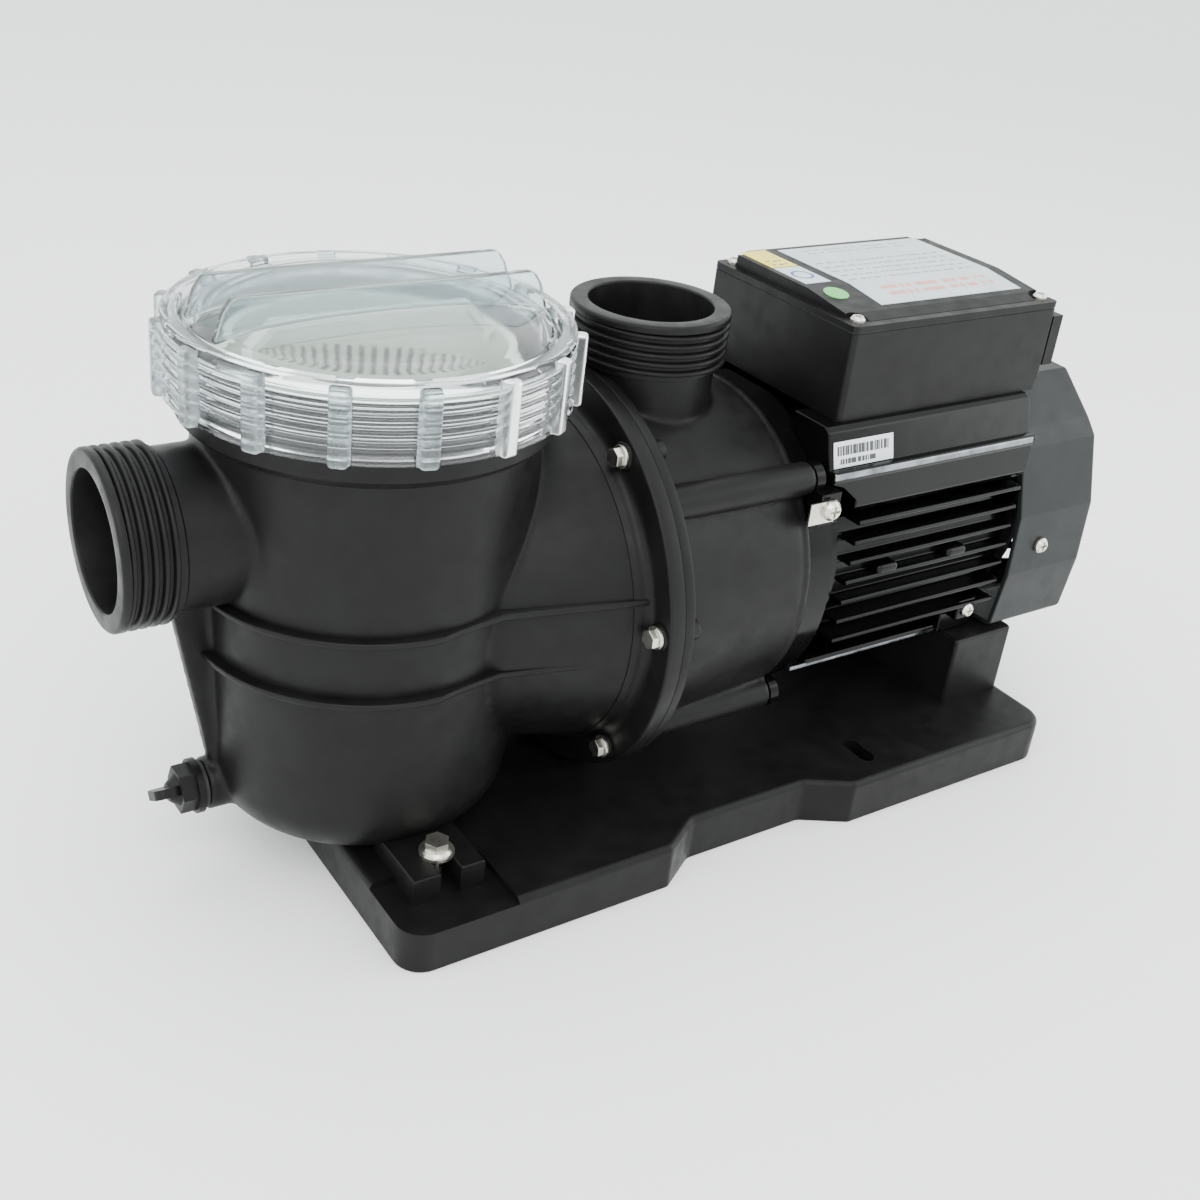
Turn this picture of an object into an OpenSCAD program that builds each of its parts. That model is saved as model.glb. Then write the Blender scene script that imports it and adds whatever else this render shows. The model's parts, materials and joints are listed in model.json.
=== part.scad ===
// Swimming pool circulation pump: strainer pot, self-priming pump end, fan-cooled motor.
// Frame: X along the motor shaft from the suction port to the fan, Z up, floor at Z = 0.
// The origin is on the floor at the middle of the pump's length and width.
// Lengths along X inside the modules are counted from the strainer's vertical axis.

/* [Overall] */
// Height of the motor shaft above the floor
axis_h = 120; // [118:1:124]
// Distance from the strainer's axis to the suction port's face
suction_reach = 118; // [112:1:124]
// Distance from the strainer's axis to the back of the fan cowl
cowl_end = 412; // [408:1:418]

/* [Base] */
// Distance from the strainer's axis to the suction end of the base
base_front = 29; // [24:1:34]
// Distance from the strainer's axis to the motor end of the base
base_end = 365; // [362:1:370]
// Width of the base
base_w = 225; // [215:1:235]
// Height of the base
base_h = 24; // [22:1:25]
// Depth of the waist in each long side of the base
waist_depth = 13; // [8:1:16]
// Distance between the two fixing slots, centre to centre
slot_spacing = 180; // [176:1:184]
// Length of a fixing slot, end to end
slot_len = 20; // [16:1:24]
// Width of a fixing slot
slot_w = 8.5; // [7:0.5:10]

/* [Ports] */
// Outer diameter of the union thread on both ports
port_thread_d = 75; // [74:0.5:76]
// Bore of both ports
port_bore_d = 58.6; // [56:0.2:60]
// Height of the suction port's axis above the floor
suction_h = 172; // [170:1:174]
// Distance from the strainer's axis to the discharge port's axis
discharge_x = 141.5; // [140:0.5:143]
// Height of the discharge port's face above the floor
discharge_h = 247; // [245:1:252]
// Pitch of the union thread
thread_pitch = 4.2; // [4:0.1:4.4]

/* [Strainer] */
// Radius of the pot at its top
pot_r_top = 74; // [73:0.5:75]
// Radius of the pot near its bottom
pot_r_low = 70; // [69:0.5:71]
// Wall of the pot
pot_wall = 4.5; // [4:0.5:5]
// Height of the pot's rim above the floor
rim_h = 246; // [244:1:248]
// Outer radius of the locking ring
ring_r = 85; // [84.5:0.5:86]
// Number of grip lugs on the locking ring
lug_count = 16; // [12:1:20]

/* [Pump end] */
// Outer radius of the bolted flange pair
flange_r = 100.3; // [99:0.1:101]
// Distance from the strainer's axis to the joint between the two flanges
joint_x = 106.4; // [106:0.1:107]
// Number of flange bolts
bolt_count = 7; // [6:1:8]
// Radius of the flange's bolt circle
bolt_circle_r = 92.5; // [92:0.1:93]
// Outer radius of the impeller
impeller_r = 55; // [48:1:58]

/* [Motor] */
// Distance from the strainer's axis to the face where the motor starts
motor_x = 194; // [193:1:195]
// Distance from the strainer's axis to the front of the fan cowl
cowl_x = 345; // [343:1:347]
// Half width of the motor over its side fins
fin_reach = 74; // [72:0.5:75]
// Number of fins on each side
fin_count = 7; // [6:1:8]
// Number of blades on the cooling fan
blade_count = 7; // [5:1:9]

/* [Hidden] */
$fn = 96;
eps = 0.01;

black = [0.07, 0.07, 0.075];
rubber_black = [0.05, 0.05, 0.05];
impeller_black = [0.12, 0.12, 0.12];
gloss_black = [0.02, 0.02, 0.025];
grey_metal = [0.55, 0.56, 0.57];
copper = [0.72, 0.42, 0.22];
brass = [0.80, 0.65, 0.30];
steel = [0.72, 0.72, 0.70];
basket_white = [0.90, 0.91, 0.88];
cream = [0.85, 0.84, 0.78];
label_grey = [0.82, 0.85, 0.86];
label_yellow = [0.88, 0.80, 0.20];
label_green = [0.30, 0.68, 0.30];
clear_tint = [0.85, 0.92, 0.93, 0.45];

strainer_x = (suction_reach - cowl_end) / 2;
port_r = port_thread_d / 2;
port_root_r = port_r - 2.1;
bore_r = port_bore_d / 2;
thread_turns = 6;

waist_x = [108, 129, 199, 222];
slot_x = 244;

rim_r = 80;
seat_z = rim_h - 14;
pivot_z = seat_z + 6.5;
rib_thick = 3;
rib_heights = [axis_h - 8, axis_h + 21];
foot_h = 10;
foot_bolt_x = 1;
foot_bolt_y = 79;
drain_z = 42.5;
drain_end = -76;
drain_bore_r = 6;
seal_thick = 2;

flange_thick = 8;
body_flange = 5.6;
chamber_r = 76;
chamber_end = 160;
back_wall = 7;
bracket_r_front = 88;
bracket_r_back = 82.8;
boss_r = 8;
boss_circle_r = 88;
boss_angles = [41, 139, 225, 315];
throat_r = 29.3;
partition = 5;
partition_mid = 86.5;
eye_r = 24;
bolt_r = 3;
flange_bolt_r = 2.5;
insert_r = 3.4;
boss_end = 6;

shaft_r = 8.5;
shield_len = 28;
casing_x = motor_x + shield_len;
step_len = 14;
shoulder_r = 70;
core_r = 67;
stator_r = 62;
stator_bore_r = 32.6;
rotor_r = 32.2;
pack_x = 250;
pack_len = 70;
bearing_xs = [212, 333];
bearing_w = 12;
bearing_r = 20;
ball_r = 3.3;
ball_circle_r = 14.25;
balls_each = 8;
fin_pitch = 11;
fin_thick = 2.6;
fin_top = 31;
earth_x = motor_x + 5;
earth_z = axis_h + 46.7;
panel_low = 37;
panel_high = 59;
motor_top = 80;
foot_top = 64;
pedestal_x = 319;
pedestal_half = 76;
saddle_r = 73;

cowl_half_w = 77.5;
cowl_half_h = 74;
fan_x = 362;
screw_x = 365;

box_x = 214;
box_end = 352;
box_near = -60;
box_far = 46;
box_floor = axis_h + motor_top;
box_top = box_floor + 43;
box_wall = 3;
cover_x = box_x + 4;
cover_end = box_end - 4;
gland_y = -48;
gland_z = box_top - 17;
gland_r = 6.4;
lead_r = 4;
box_half = 70;
screw_inset = 7;
label_thick = 0.3;

function bolt_angle(i) = 5 + i * 360 / bolt_count;
// Top of the terminal cover as [y, z] points from the near side to the far side
cover_line = [[box_near + 5, box_top + 4], [box_near + 12, box_top + 6], [-20, box_top + 9.6],
              [box_far - 8, box_top + 10], [box_far - 3, box_top + 4]];

// Puts the children at the strainer's axis
module place() {
    translate([strainer_x, 0, 0]) children();
}

// Turns the children's Z axis to +X and sets them on the shaft line at distance x
module on_shaft(x) {
    translate([x, 0, axis_h]) rotate([0, 90, 0]) children();
}

// Ring with a flat section
module ring(r_out, r_in, h) {
    difference() {
        cylinder(r = r_out, h = h);
        translate([0, 0, -1]) cylinder(r = r_in, h = h + 2);
    }
}

// Repeats the children round Z at a radius
module spread(count, r, start = 0) {
    for (i = [0:count - 1])
        rotate([0, 0, start + i * 360 / count]) translate([r, 0, 0]) children();
}

// Repeats the children at the flange bolts, with Z along +X
module at_flange_bolts(x) {
    for (i = [0:bolt_count - 1])
        translate([x, -bolt_circle_r * cos(bolt_angle(i)), axis_h + bolt_circle_r * sin(bolt_angle(i))])
            rotate([0, 90, 0]) children();
}

// Repeats the children at the four motor bolts, with Z along +X
module at_motor_bolts(x) {
    for (a = boss_angles)
        translate([x, boss_circle_r * cos(a), axis_h + boss_circle_r * sin(a)])
            rotate([0, 90, 0]) children();
}

// Hexagonal prism of a given width across its flats
module hexagon(flats, h) {
    cylinder(r = flats / sqrt(3), h = h, $fn = 6);
}

// Male union end along +Z: plain root with raised crests, face at Z = 0 and body towards -Z
module union_end(length) {
    crest = 2.2;
    flank = 0.9;
    lead_in = 1.6;
    turn = [[port_root_r, flank], [port_r, 0], [port_r, -crest], [port_root_r, -crest - flank]];
    rotate_extrude()
        polygon(concat(
            [[0, 0], [port_r - 2, 0], [port_r, -lead_in], [port_r, -crest - lead_in],
             [port_root_r, -crest - lead_in - flank]],
            [for (i = [1:thread_turns - 1], p = turn) [p[0], p[1] - lead_in - i * thread_pitch]],
            [[port_root_r, -length], [0, -length]]));
}

// Pan-head screw with a cross recess, head towards +Z, seat at Z = 0
module pan_screw(head_r, head_h, shank_r, shank_len) {
    half_h = head_h / 2;
    slot = [head_r * 1.2, head_r * 0.24, head_h];
    difference() {
        union() {
            cylinder(r = head_r, h = half_h, $fn = 48);
            translate([0, 0, half_h]) cylinder(r1 = head_r, r2 = head_r * 0.7, h = half_h, $fn = 48);
            translate([0, 0, -shank_len]) cylinder(r = shank_r, h = shank_len + eps, $fn = 32);
        }
        for (a = [0, 90])
            rotate([0, 0, a]) translate([-slot[0] / 2, -slot[1] / 2, head_h * 0.45]) cube(slot);
    }
}

// ---------------------------------------------------------------- base

// Outline of the base with round corners and a waist in each long side
module base_outline(inset) {
    r = 13;
    x0 = -base_front + inset;
    x1 = base_end - inset;
    y1 = base_w / 2 - inset;
    y_waist = y1 - waist_depth;
    side = [[x1 - r, y1], [waist_x[3], y1], [waist_x[2], y_waist], [waist_x[1], y_waist], [waist_x[0], y1],
            [x0 + r, y1]];
    polygon(concat([[x1, y1 - r]], side, [[x0, y1 - r], [x0, r - y1]],
                   [for (i = [len(side) - 1:-1:0]) [side[i][0], -side[i][1]]], [[x1, r - y1]]));
    for (x = [x0 + r, x1 - r], y = [r - y1, y1 - r])
        translate([x, y]) circle(r = r);
}

module slot_hole(h) {
    for (y = [-1, 1] * (slot_len - slot_w) / 2)
        translate([0, y, 0]) cylinder(r = slot_w / 2, h = h);
    translate([-slot_w / 2, -(slot_len - slot_w) / 2, 0]) cube([slot_w, slot_len - slot_w, h]);
}

// Weight-saving pockets under the base, clear of the slots, bolts and end walls
module base_pockets() {
    pocket = [37, 38, 13];
    pitch = 43;
    first_x = 12;
    shorter = 6;
    for (i = [0:7], j = [-2:1]) {
        outer = (j == -2 || j == 1);
        near_slot = outer && (i == 0 || i == 5);
        cut = outer && i >= 2 && i <= 4 ? shorter : 0;
        y = j * pitch + 3 + (j == -2 ? cut : 0);
        if (!near_slot)
            translate([first_x + i * pitch - pocket[0] / 2, y, -1])
                cube([pocket[0], pocket[1] - cut, pocket[2] + 1]);
    }
}

module base_plate() {
    bevel = 4;
    step_x = 25;
    step_depth = 3;
    step_z = base_h - bevel / 2 - eps;
    color(black) place() difference() {
        union() {
            linear_extrude(base_h - bevel) base_outline(0);
            translate([0, 0, base_h - bevel - eps]) linear_extrude(bevel / 2 + eps) base_outline(1);
            translate([0, 0, step_z]) linear_extrude(bevel / 2 + eps) base_outline(2.5);
            translate([pedestal_x, -pedestal_half, base_h - 6])
                cube([base_end - pedestal_x - 2.5, 2 * pedestal_half, foot_top - base_h + 6]);
        }
        base_pockets();
        for (s = [-1, 1])
            translate([-base_front - 1, s * 100 - 25, base_h - step_depth])
                cube([base_front + step_x + 1, 50, step_depth + 1]);
        on_shaft(joint_x - flange_thick - 10)
            cylinder(r = flange_r + 1.5, h = flange_thick + body_flange + 20);
        on_shaft(pedestal_x - 1) cylinder(r = saddle_r, h = base_end);
        for (y = [-1, 1] * slot_spacing / 2)
            translate([slot_x, y, -1]) slot_hole(base_h + 2);
        for (y = [-1, 1] * foot_bolt_y)
            translate([foot_bolt_x, y, 6]) cylinder(r = bolt_r + 0.05, h = base_h);
    }
}

// ---------------------------------------------------------------- strainer

// Outer body of the pot as a solid of revolution
module pot_solid() {
    corner = 25;
    rotate_extrude()
        polygon(concat(
            [[0, base_h], [pot_r_low - corner, base_h]],
            [for (a = [-75:15:0]) [pot_r_low - corner + corner * cos(a), base_h + corner + corner * sin(a)]],
            [[pot_r_top, rim_h - 37], [rim_r - 1, rim_h - 32], [rim_r, rim_h - 31], [rim_r, rim_h - 22.5],
             [rim_r - 0.8, rim_h - 22], [rim_r - 0.8, rim_h - 1], [rim_r - 1.8, rim_h], [0, rim_h]]));
}

// Hollow of the pot, stepped for the basket's rim
module pot_hollow() {
    r_low = pot_r_low - pot_wall;
    r_seat = pot_r_top - 7.5;
    r_corner = 20;
    rotate_extrude()
        polygon(concat(
            [[0, base_h + pot_wall], [r_low - r_corner, base_h + pot_wall]],
            [for (a = [-75:15:0]) [r_low - r_corner + r_corner * cos(a),
                                   base_h + pot_wall + r_corner + r_corner * sin(a)]],
            [[r_seat, seat_z - 0.2], [70.5, seat_z - 0.2], [70.5, rim_h + 1], [0, rim_h + 1]]));
}

// Horizontal stiffening rib that wraps round the pot and runs along the funnel
module wrap_rib(z) {
    r = pot_r_low + 6.5;
    translate([0, 0, z - rib_thick / 2]) linear_extrude(rib_thick) {
        circle(r = r);
        polygon([[0, -r + 0.5], [32, -r + 6], [joint_x - flange_thick + 0.5, -84.5],
                 [joint_x - flange_thick + 0.5, 84.5], [32, r - 6], [0, r - 0.5]]);
    }
}

// Funnel from the pot to the flange, outside
module funnel_solid() {
    front = joint_x - flange_thick;
    on_shaft(0) rotate_extrude()
        polygon([[0, 20], [62, 20], [70, 34], [83, front - 10], [84.5, front - 4], [88, front + eps],
                 [flange_r - 1, front + eps], [flange_r, front + 1], [flange_r, joint_x], [0, joint_x]]);
}

module funnel_hollow() {
    on_shaft(0) {
        translate([0, 0, 20]) cylinder(r1 = 58, r2 = 77, h = partition_mid - partition / 2 - 20);
        cylinder(r = throat_r, h = joint_x);
        translate([0, 0, partition_mid + partition / 2]) cylinder(r = chamber_r, h = 30);
    }
}

module strainer_foot(side) {
    mirror([0, side < 0 ? 1 : 0, 0]) difference() {
        union() {
            translate([-17, 40, base_h]) cube([35, 36, foot_h]);
            translate([-17, 75.5, base_h - 2.95]) cube([35, 17.5, foot_h + 2.95]);
        }
        translate([foot_bolt_x - 5, foot_bolt_y, base_h - 4]) cube([10, 20, foot_h + 5]);
        translate([foot_bolt_x, foot_bolt_y, base_h - 4]) cylinder(r = 5, h = foot_h + 5);
    }
}

module strainer_housing() {
    color(black) place() difference() {
        union() {
            pot_solid();
            funnel_solid();
            translate([-suction_reach, 0, suction_h]) rotate([0, -90, 0]) union_end(60);
            translate([0, 4, 0]) rotate([90, 0, 0]) linear_extrude(8)
                polygon([[-89, suction_h - 34], [-73, 54], [-50, 40], [-50, suction_h - 30]]);
            translate([drain_end, 0, drain_z]) rotate([0, 90, 0]) cylinder(r = 12, h = 30);
            for (z = rib_heights) wrap_rib(z);
            for (side = [-1, 1]) strainer_foot(side);
            at_flange_bolts(joint_x - flange_thick - 1.5) cylinder(r = 6.4, h = 4);
        }
        pot_hollow();
        funnel_hollow();
        translate([-suction_reach - 1, 0, suction_h]) rotate([0, 90, 0]) cylinder(r = bore_r, h = 90);
        translate([drain_end - 1, 0, drain_z]) rotate([0, 90, 0]) cylinder(r = drain_bore_r, h = 50);
        at_flange_bolts(joint_x - flange_thick - 5) cylinder(r = flange_bolt_r + 0.3, h = 20);
        translate([0, 0, rim_h - 4]) ring(77, 71.9, 6);
    }
}

module lid_ring() {
    z0 = rim_h - 22;
    height = 32;
    lip_r = 77.6;
    root_r = ring_r - 1.3;
    ridge = [[root_r, 4], [root_r, 6.2], [ring_r, 7], [ring_r, 8.6]];
    ridge_pitch = 5.2;
    lug = [6, 9, height - 1];
    color(clear_tint) place() {
        translate([0, 0, z0]) rotate_extrude()
            polygon(concat(
                [[rim_r + 0.5, 0], [ring_r + 0.6, 0], [ring_r + 0.6, 3]],
                [for (i = [0:3], p = ridge) [p[0], p[1] + i * ridge_pitch]],
                [[ring_r, height - 4], [ring_r - 1.4, height - 1], [ring_r - 4, height], [lip_r, height],
                 [lip_r, height - 5], [rim_r + 0.5, height - 5]]));
        translate([0, 0, z0 - 0.5]) spread(lug_count, ring_r - 2.2, 180 / lug_count) difference() {
            translate([0, -lug[1] / 2, 0]) cube(lug);
            for (s = [-1, 1])
                translate([lug[0], s * lug[1] / 2, 0]) rotate([0, 0, 45])
                    cube([2, 2, 3 * height], center = true);
        }
    }
}

module clear_lid() {
    z0 = rim_h + 0.4;
    thick = 4;
    wing_gap = 15;
    wing_thick = 3.6;
    inside = [[0, 10.5], [30, 10], [55, 8.2], [68, 5.2], [71.2, 2], [71.2, 0]];
    rim = [[79.6, 0], [79.6, thick], [76, thick]];
    outside = [[75, 6.5], [70.5, 9.8], [56, 12.4], [30, 14.2], [0, 14.7]];
    wing_half = [[0, 25.5], [66, 25.5], [70, 20], [74, 6.5], [68, 6.4], [55, 11], [30, 12.5], [0, 13]];
    color(clear_tint) place() {
        translate([0, 0, z0]) rotate_extrude() polygon(concat(inside, rim, outside));
        for (y = [-1, 1] * wing_gap)
            translate([0, y + wing_thick / 2, z0]) rotate([90, 0, 0]) linear_extrude(wing_thick)
                polygon(concat(wing_half,
                               [for (i = [len(wing_half) - 2:-1:1]) [-wing_half[i][0], wing_half[i][1]]]));
    }
}

module lid_seal() {
    color(rubber_black) place() translate([0, 0, rim_h - 1.9])
        rotate_extrude() translate([74.4, 0]) circle(r = 2.1, $fn = 32);
}

module strainer_basket() {
    bottom_z = 62;
    r_top = 60;
    r_bottom = 54;
    wall = 2.4;
    floor_r = 48;
    slot_rows = 5;
    slot_cols = 12;
    slot_wide = 5;
    color(basket_white) place() difference() {
        union() {
            translate([0, 0, bottom_z]) cylinder(r1 = r_bottom, r2 = r_top, h = seat_z + 3 - bottom_z);
            translate([0, 0, seat_z]) cylinder(r = 69, h = 3);
            translate([0, 0, seat_z]) ring(62, 57, 10);
        }
        translate([0, 0, bottom_z + wall])
            cylinder(r1 = r_bottom - wall, r2 = r_top - wall, h = seat_z + 5 - bottom_z);
        translate([-suction_reach, 0, suction_h]) rotate([0, 90, 0]) cylinder(r = 30, h = suction_reach);
        for (row = [0:slot_rows - 1], col = [0:slot_cols - 1])
            if (row != 2 && row != 4 || col != 0)
                rotate([0, 0, col * 180 / slot_cols])
                    translate([-80, -slot_wide / 2, bottom_z + 10 + row * 31]) cube([160, slot_wide, 22]);
        for (x = [-40:2 * slot_wide:40]) {
            half = sqrt(pow(floor_r, 2) - x * x);
            translate([x - slot_wide / 2, -half, bottom_z - 1]) cube([slot_wide, 2 * half, wall + 2]);
        }
        translate([-80, 0, pivot_z]) rotate([0, 90, 0]) cylinder(r = 2.05, h = 160);
    }
}

module basket_handle() {
    half = 54.5;
    outside = [[half, -4], [half, 3], [44, 14.5]];
    inside = [[42.6, 11.5], [half - 3, 2], [half - 3, -4]];
    color(basket_white) place() {
        translate([0, 4, pivot_z]) rotate([90, 0, 0]) linear_extrude(8)
            polygon(concat([for (p = outside) [-p[0], p[1]]], [for (i = [2:-1:0]) outside[i]],
                           [for (i = [2:-1:0]) inside[i]], [for (p = inside) [-p[0], p[1]]]));
        for (s = [-1, 1])
            translate([s < 0 ? -61 : half - 1, 0, pivot_z]) rotate([0, 90, 0])
                cylinder(r = 2, h = 62 - half, $fn = 48);
    }
}

module drain_plug() {
    blade = 4.3;
    blade_half = 8.5;
    blade_turn = 33;
    color(black) place() translate([drain_end - seal_thick, 0, drain_z])
        rotate([0, -90, 0]) rotate([0, 0, blade_turn]) {
        cylinder(r = 12.5, h = 3);
        translate([0, 0, 3 - eps]) hexagon(19, 7);
        translate([0, 0, 10 - 2 * eps]) cylinder(r1 = 7.5, r2 = 4, h = 4);
        translate([-blade / 2, 0, 0]) rotate([90, 0, 90]) linear_extrude(blade)
            box_outline(-blade_half, blade_half, 9, 21, 4);
        translate([0, 0, -15]) cylinder(r = drain_bore_r - 0.3, h = 15 + eps);
    }
}

module drain_seal() {
    color(rubber_black) place() translate([drain_end - seal_thick, 0, drain_z]) rotate([0, 90, 0])
        ring(11, drain_bore_r, seal_thick - 0.05);
}

// ---------------------------------------------------------------- pump end

module pump_body() {
    port_neck_r = 33;
    passage = [32, 46, 41];
    bore_floor = axis_h + chamber_r + 4;
    color(black) place() difference() {
        union() {
            on_shaft(0) rotate_extrude()
                polygon([[0, joint_x], [flange_r, joint_x], [flange_r, joint_x + body_flange - 1],
                         [flange_r - 1, joint_x + body_flange], [bracket_r_front + 3, joint_x + body_flange],
                         [bracket_r_front, joint_x + body_flange + 3], [bracket_r_back, motor_x - 6],
                         [bracket_r_back - 0.8, motor_x - 5.5], [bracket_r_back - 0.8, motor_x - 4.5],
                         [bracket_r_back, motor_x - 4], [bracket_r_back, motor_x], [0, motor_x]]);
            translate([discharge_x, 0, discharge_h]) union_end(26);
            translate([discharge_x, 0, axis_h]) cylinder(r = port_neck_r, h = discharge_h - axis_h - 25);
            at_flange_bolts(joint_x + 1) cylinder(r = insert_r + 1.6, h = body_flange + boss_end);
            at_motor_bolts(joint_x + 1) cylinder(r = boss_r, h = motor_x - joint_x - 1);
        }
        on_shaft(joint_x - 1) cylinder(r = chamber_r, h = chamber_end - joint_x + 1);
        on_shaft(chamber_end + back_wall) cylinder(r = chamber_r, h = motor_x);
        on_shaft(chamber_end - 1) cylinder(r = shaft_r + 2, h = back_wall + 2);
        on_shaft(chamber_end - 1) cylinder(r = 18, h = 5.5);
        translate([discharge_x, 0, bore_floor]) cylinder(r = bore_r, h = discharge_h);
        translate([discharge_x - passage[0] / 2, -passage[1] / 2, bore_floor - passage[2] + 1])
            cube(passage);
        on_shaft(joint_x - 1) ring(87, 82.4, 4.2);
        at_flange_bolts(joint_x - 1) cylinder(r = insert_r, h = body_flange + boss_end);
        at_motor_bolts(motor_x - 24) cylinder(r = bolt_r + 0.05, h = 30);
        for (y = [-18, 18])
            translate([177, y, axis_h - 95]) cylinder(r = 4, h = 30);
    }
}

module body_seal() {
    color(rubber_black) place() on_shaft(joint_x + 1.6)
        rotate_extrude() translate([84.7, 0]) circle(r = 1.5, $fn = 32);
}

module diffuser() {
    nose_x = partition_mid - 4;
    front_x = 111;
    wall = 3;
    shell_r = 68;
    color(black) place() difference() {
        union() {
            on_shaft(nose_x) cylinder(r = throat_r - 0.2, h = 8);
            on_shaft(nose_x) cylinder(r = throat_r - 1.2, h = front_x - nose_x + eps);
            on_shaft(front_x) cylinder(r = shell_r, h = 30);
        }
        on_shaft(nose_x - 1) cylinder(r = eye_r + 1, h = 60);
        on_shaft(front_x + wall) cylinder(r = shell_r - wall, h = 40);
        on_shaft(partition_mid - 1.5) ring(throat_r + 2, throat_r - 3, 3);
        for (i = [0:5])
            on_shaft(front_x + 8) rotate([0, 0, i * 60 + 30]) translate([40, -11, 0]) cube([40, 22, 14]);
    }
}

module diffuser_seal() {
    color(rubber_black) place() on_shaft(partition_mid)
        rotate_extrude() translate([throat_r - 1.55, 0]) circle(r = 1.45, $fn = 32);
}

module impeller() {
    front_x = 118;
    width = 16;
    vane_count = 6;
    color(impeller_black) place() on_shaft(front_x) difference() {
        union() {
            ring(impeller_r, eye_r, 2.5);
            translate([0, 0, width - 3]) cylinder(r = impeller_r, h = 3);
            cylinder(r1 = 9, r2 = 14, h = width);
            translate([0, 0, width - eps]) cylinder(r = 13, h = 6);
            for (i = [0:vane_count - 1])
                rotate([0, 0, i * 360 / vane_count]) difference() {
                    translate([22, -19, 1]) cylinder(r = 36, h = width - 2);
                    translate([22, -19, 0]) cylinder(r = 33.6, h = width);
                    translate([-80, -80, 0]) cube([160, 80, width]);
                    translate([0, 0, -1]) ring(140, impeller_r - 0.5, width + 2);
                    translate([0, 0, -1]) cylinder(r = eye_r - 3, h = width + 2);
                    translate([-80, 0, 0]) cube([80, 80, width]);
                }
        }
        translate([0, 0, -1]) cylinder(r = 6, h = width + 8);
    }
}

module impeller_nut() {
    color(brass) place() on_shaft(112) difference() {
        hexagon(16, 6);
        translate([0, 0, -1]) cylinder(r = 5, h = 8);
    }
}

module seal_rotor() {
    color(grey_metal) place() on_shaft(141) difference() {
        union() {
            cylinder(r = 13, h = 4);
            translate([0, 0, 4 - eps]) cylinder(r = 15, h = 12.4);
        }
        translate([0, 0, -1]) cylinder(r = shaft_r, h = 20);
    }
}

module seal_seat() {
    color(cream) place() on_shaft(157.6) ring(17.9, shaft_r + 2.5, 6.7);
}

module motor_shaft() {
    nut_r = 5;
    nose_r = 6;
    core = 10;
    tail_r = 7;
    color(grey_metal) place() on_shaft(0) rotate_extrude()
        polygon([[0, 110], [nut_r - 0.6, 110], [nut_r, 110.6], [nut_r, 118], [nose_r, 118], [nose_r, 141],
                 [shaft_r, 141], [shaft_r, 228], [core, 228], [core, 332.5], [shaft_r, 332.5], [shaft_r, 350],
                 [tail_r, 350], [tail_r, 389], [tail_r - 1, 390], [0, 390]]);
}

module slinger() {
    color(rubber_black) place() on_shaft(176) difference() {
        union() {
            cylinder(r = 12, h = 5);
            translate([0, 0, 1.5]) cylinder(r = 22, h = 2);
        }
        translate([0, 0, -1]) cylinder(r = shaft_r, h = 8);
    }
}

// ---------------------------------------------------------------- motor

module motor_rotor() {
    color(grey_metal) place() on_shaft(pack_x - 6) difference() {
        union() {
            cylinder(r = rotor_r - 3, h = pack_len + 12);
            translate([0, 0, 6]) cylinder(r = rotor_r, h = pack_len);
        }
        translate([0, 0, -1]) cylinder(r = 10, h = pack_len + 20);
    }
}

module motor_stator() {
    color(grey_metal) place() on_shaft(pack_x) ring(stator_r, stator_bore_r, pack_len);
}

module stator_windings() {
    color(copper) place() for (x = [pack_x - 14, pack_x + pack_len + 3])
        on_shaft(x) rotate_extrude()
            polygon([[40, 0], [52, 0], [55, 3], [55, 8], [52, 11], [40, 11], [37, 8], [37, 3]]);
}

// Cross-section of the finned casing, looking along the shaft, shaft at the centre
module casing_section() {
    circle(r = core_r);
    for (s = [-1, 1]) {
        for (k = [0:fin_count - 1])
            translate([s < 0 ? -fin_reach : 0, fin_top - k * fin_pitch - fin_thick / 2])
                square([fin_reach, fin_thick]);
        mirror([s < 0 ? 1 : 0, 0]) {
            polygon([[0, panel_low], [fin_reach - 3, panel_low], [fin_reach, panel_low + 4],
                     [fin_reach, panel_high], [fin_reach - 3, panel_high + 1.5],
                     [fin_reach - 4, panel_high + 1], [fin_reach - 9, motor_top - 2],
                     [fin_reach - 11, motor_top], [0, motor_top]]);
            translate([fin_reach - 1.5, panel_high]) circle(r = 2.5, $fn = 48);
            translate([20, -56]) square([42, 4.5]);
        }
    }
}

// Turns a drawing of [Y, Z] points into a bar along +X that starts at distance x
module bar_along_x(x, length) {
    translate([x, 0, axis_h]) rotate([90, 0, 90]) linear_extrude(length) children();
}

// Upper corner panels and lower sills of the casing that reach forward over the front shield
module casing_reach() {
    nose = 204.5;
    bar_along_x(212, casing_x - 211.9) for (s = [0, 1])
        mirror([s, 0]) translate([20, -56]) square([42, 4.5]);
    intersection() {
        bar_along_x(nose, casing_x - nose + 0.1) casing_section();
        translate([0, 90, axis_h]) rotate([90, 0, 0]) linear_extrude(180)
            polygon([[nose, motor_top + 1], [nose, 55.5], [casing_x - 10, 53], [casing_x + 1, 44],
                     [casing_x + 1, motor_top + 1]]);
    }
}

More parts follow.
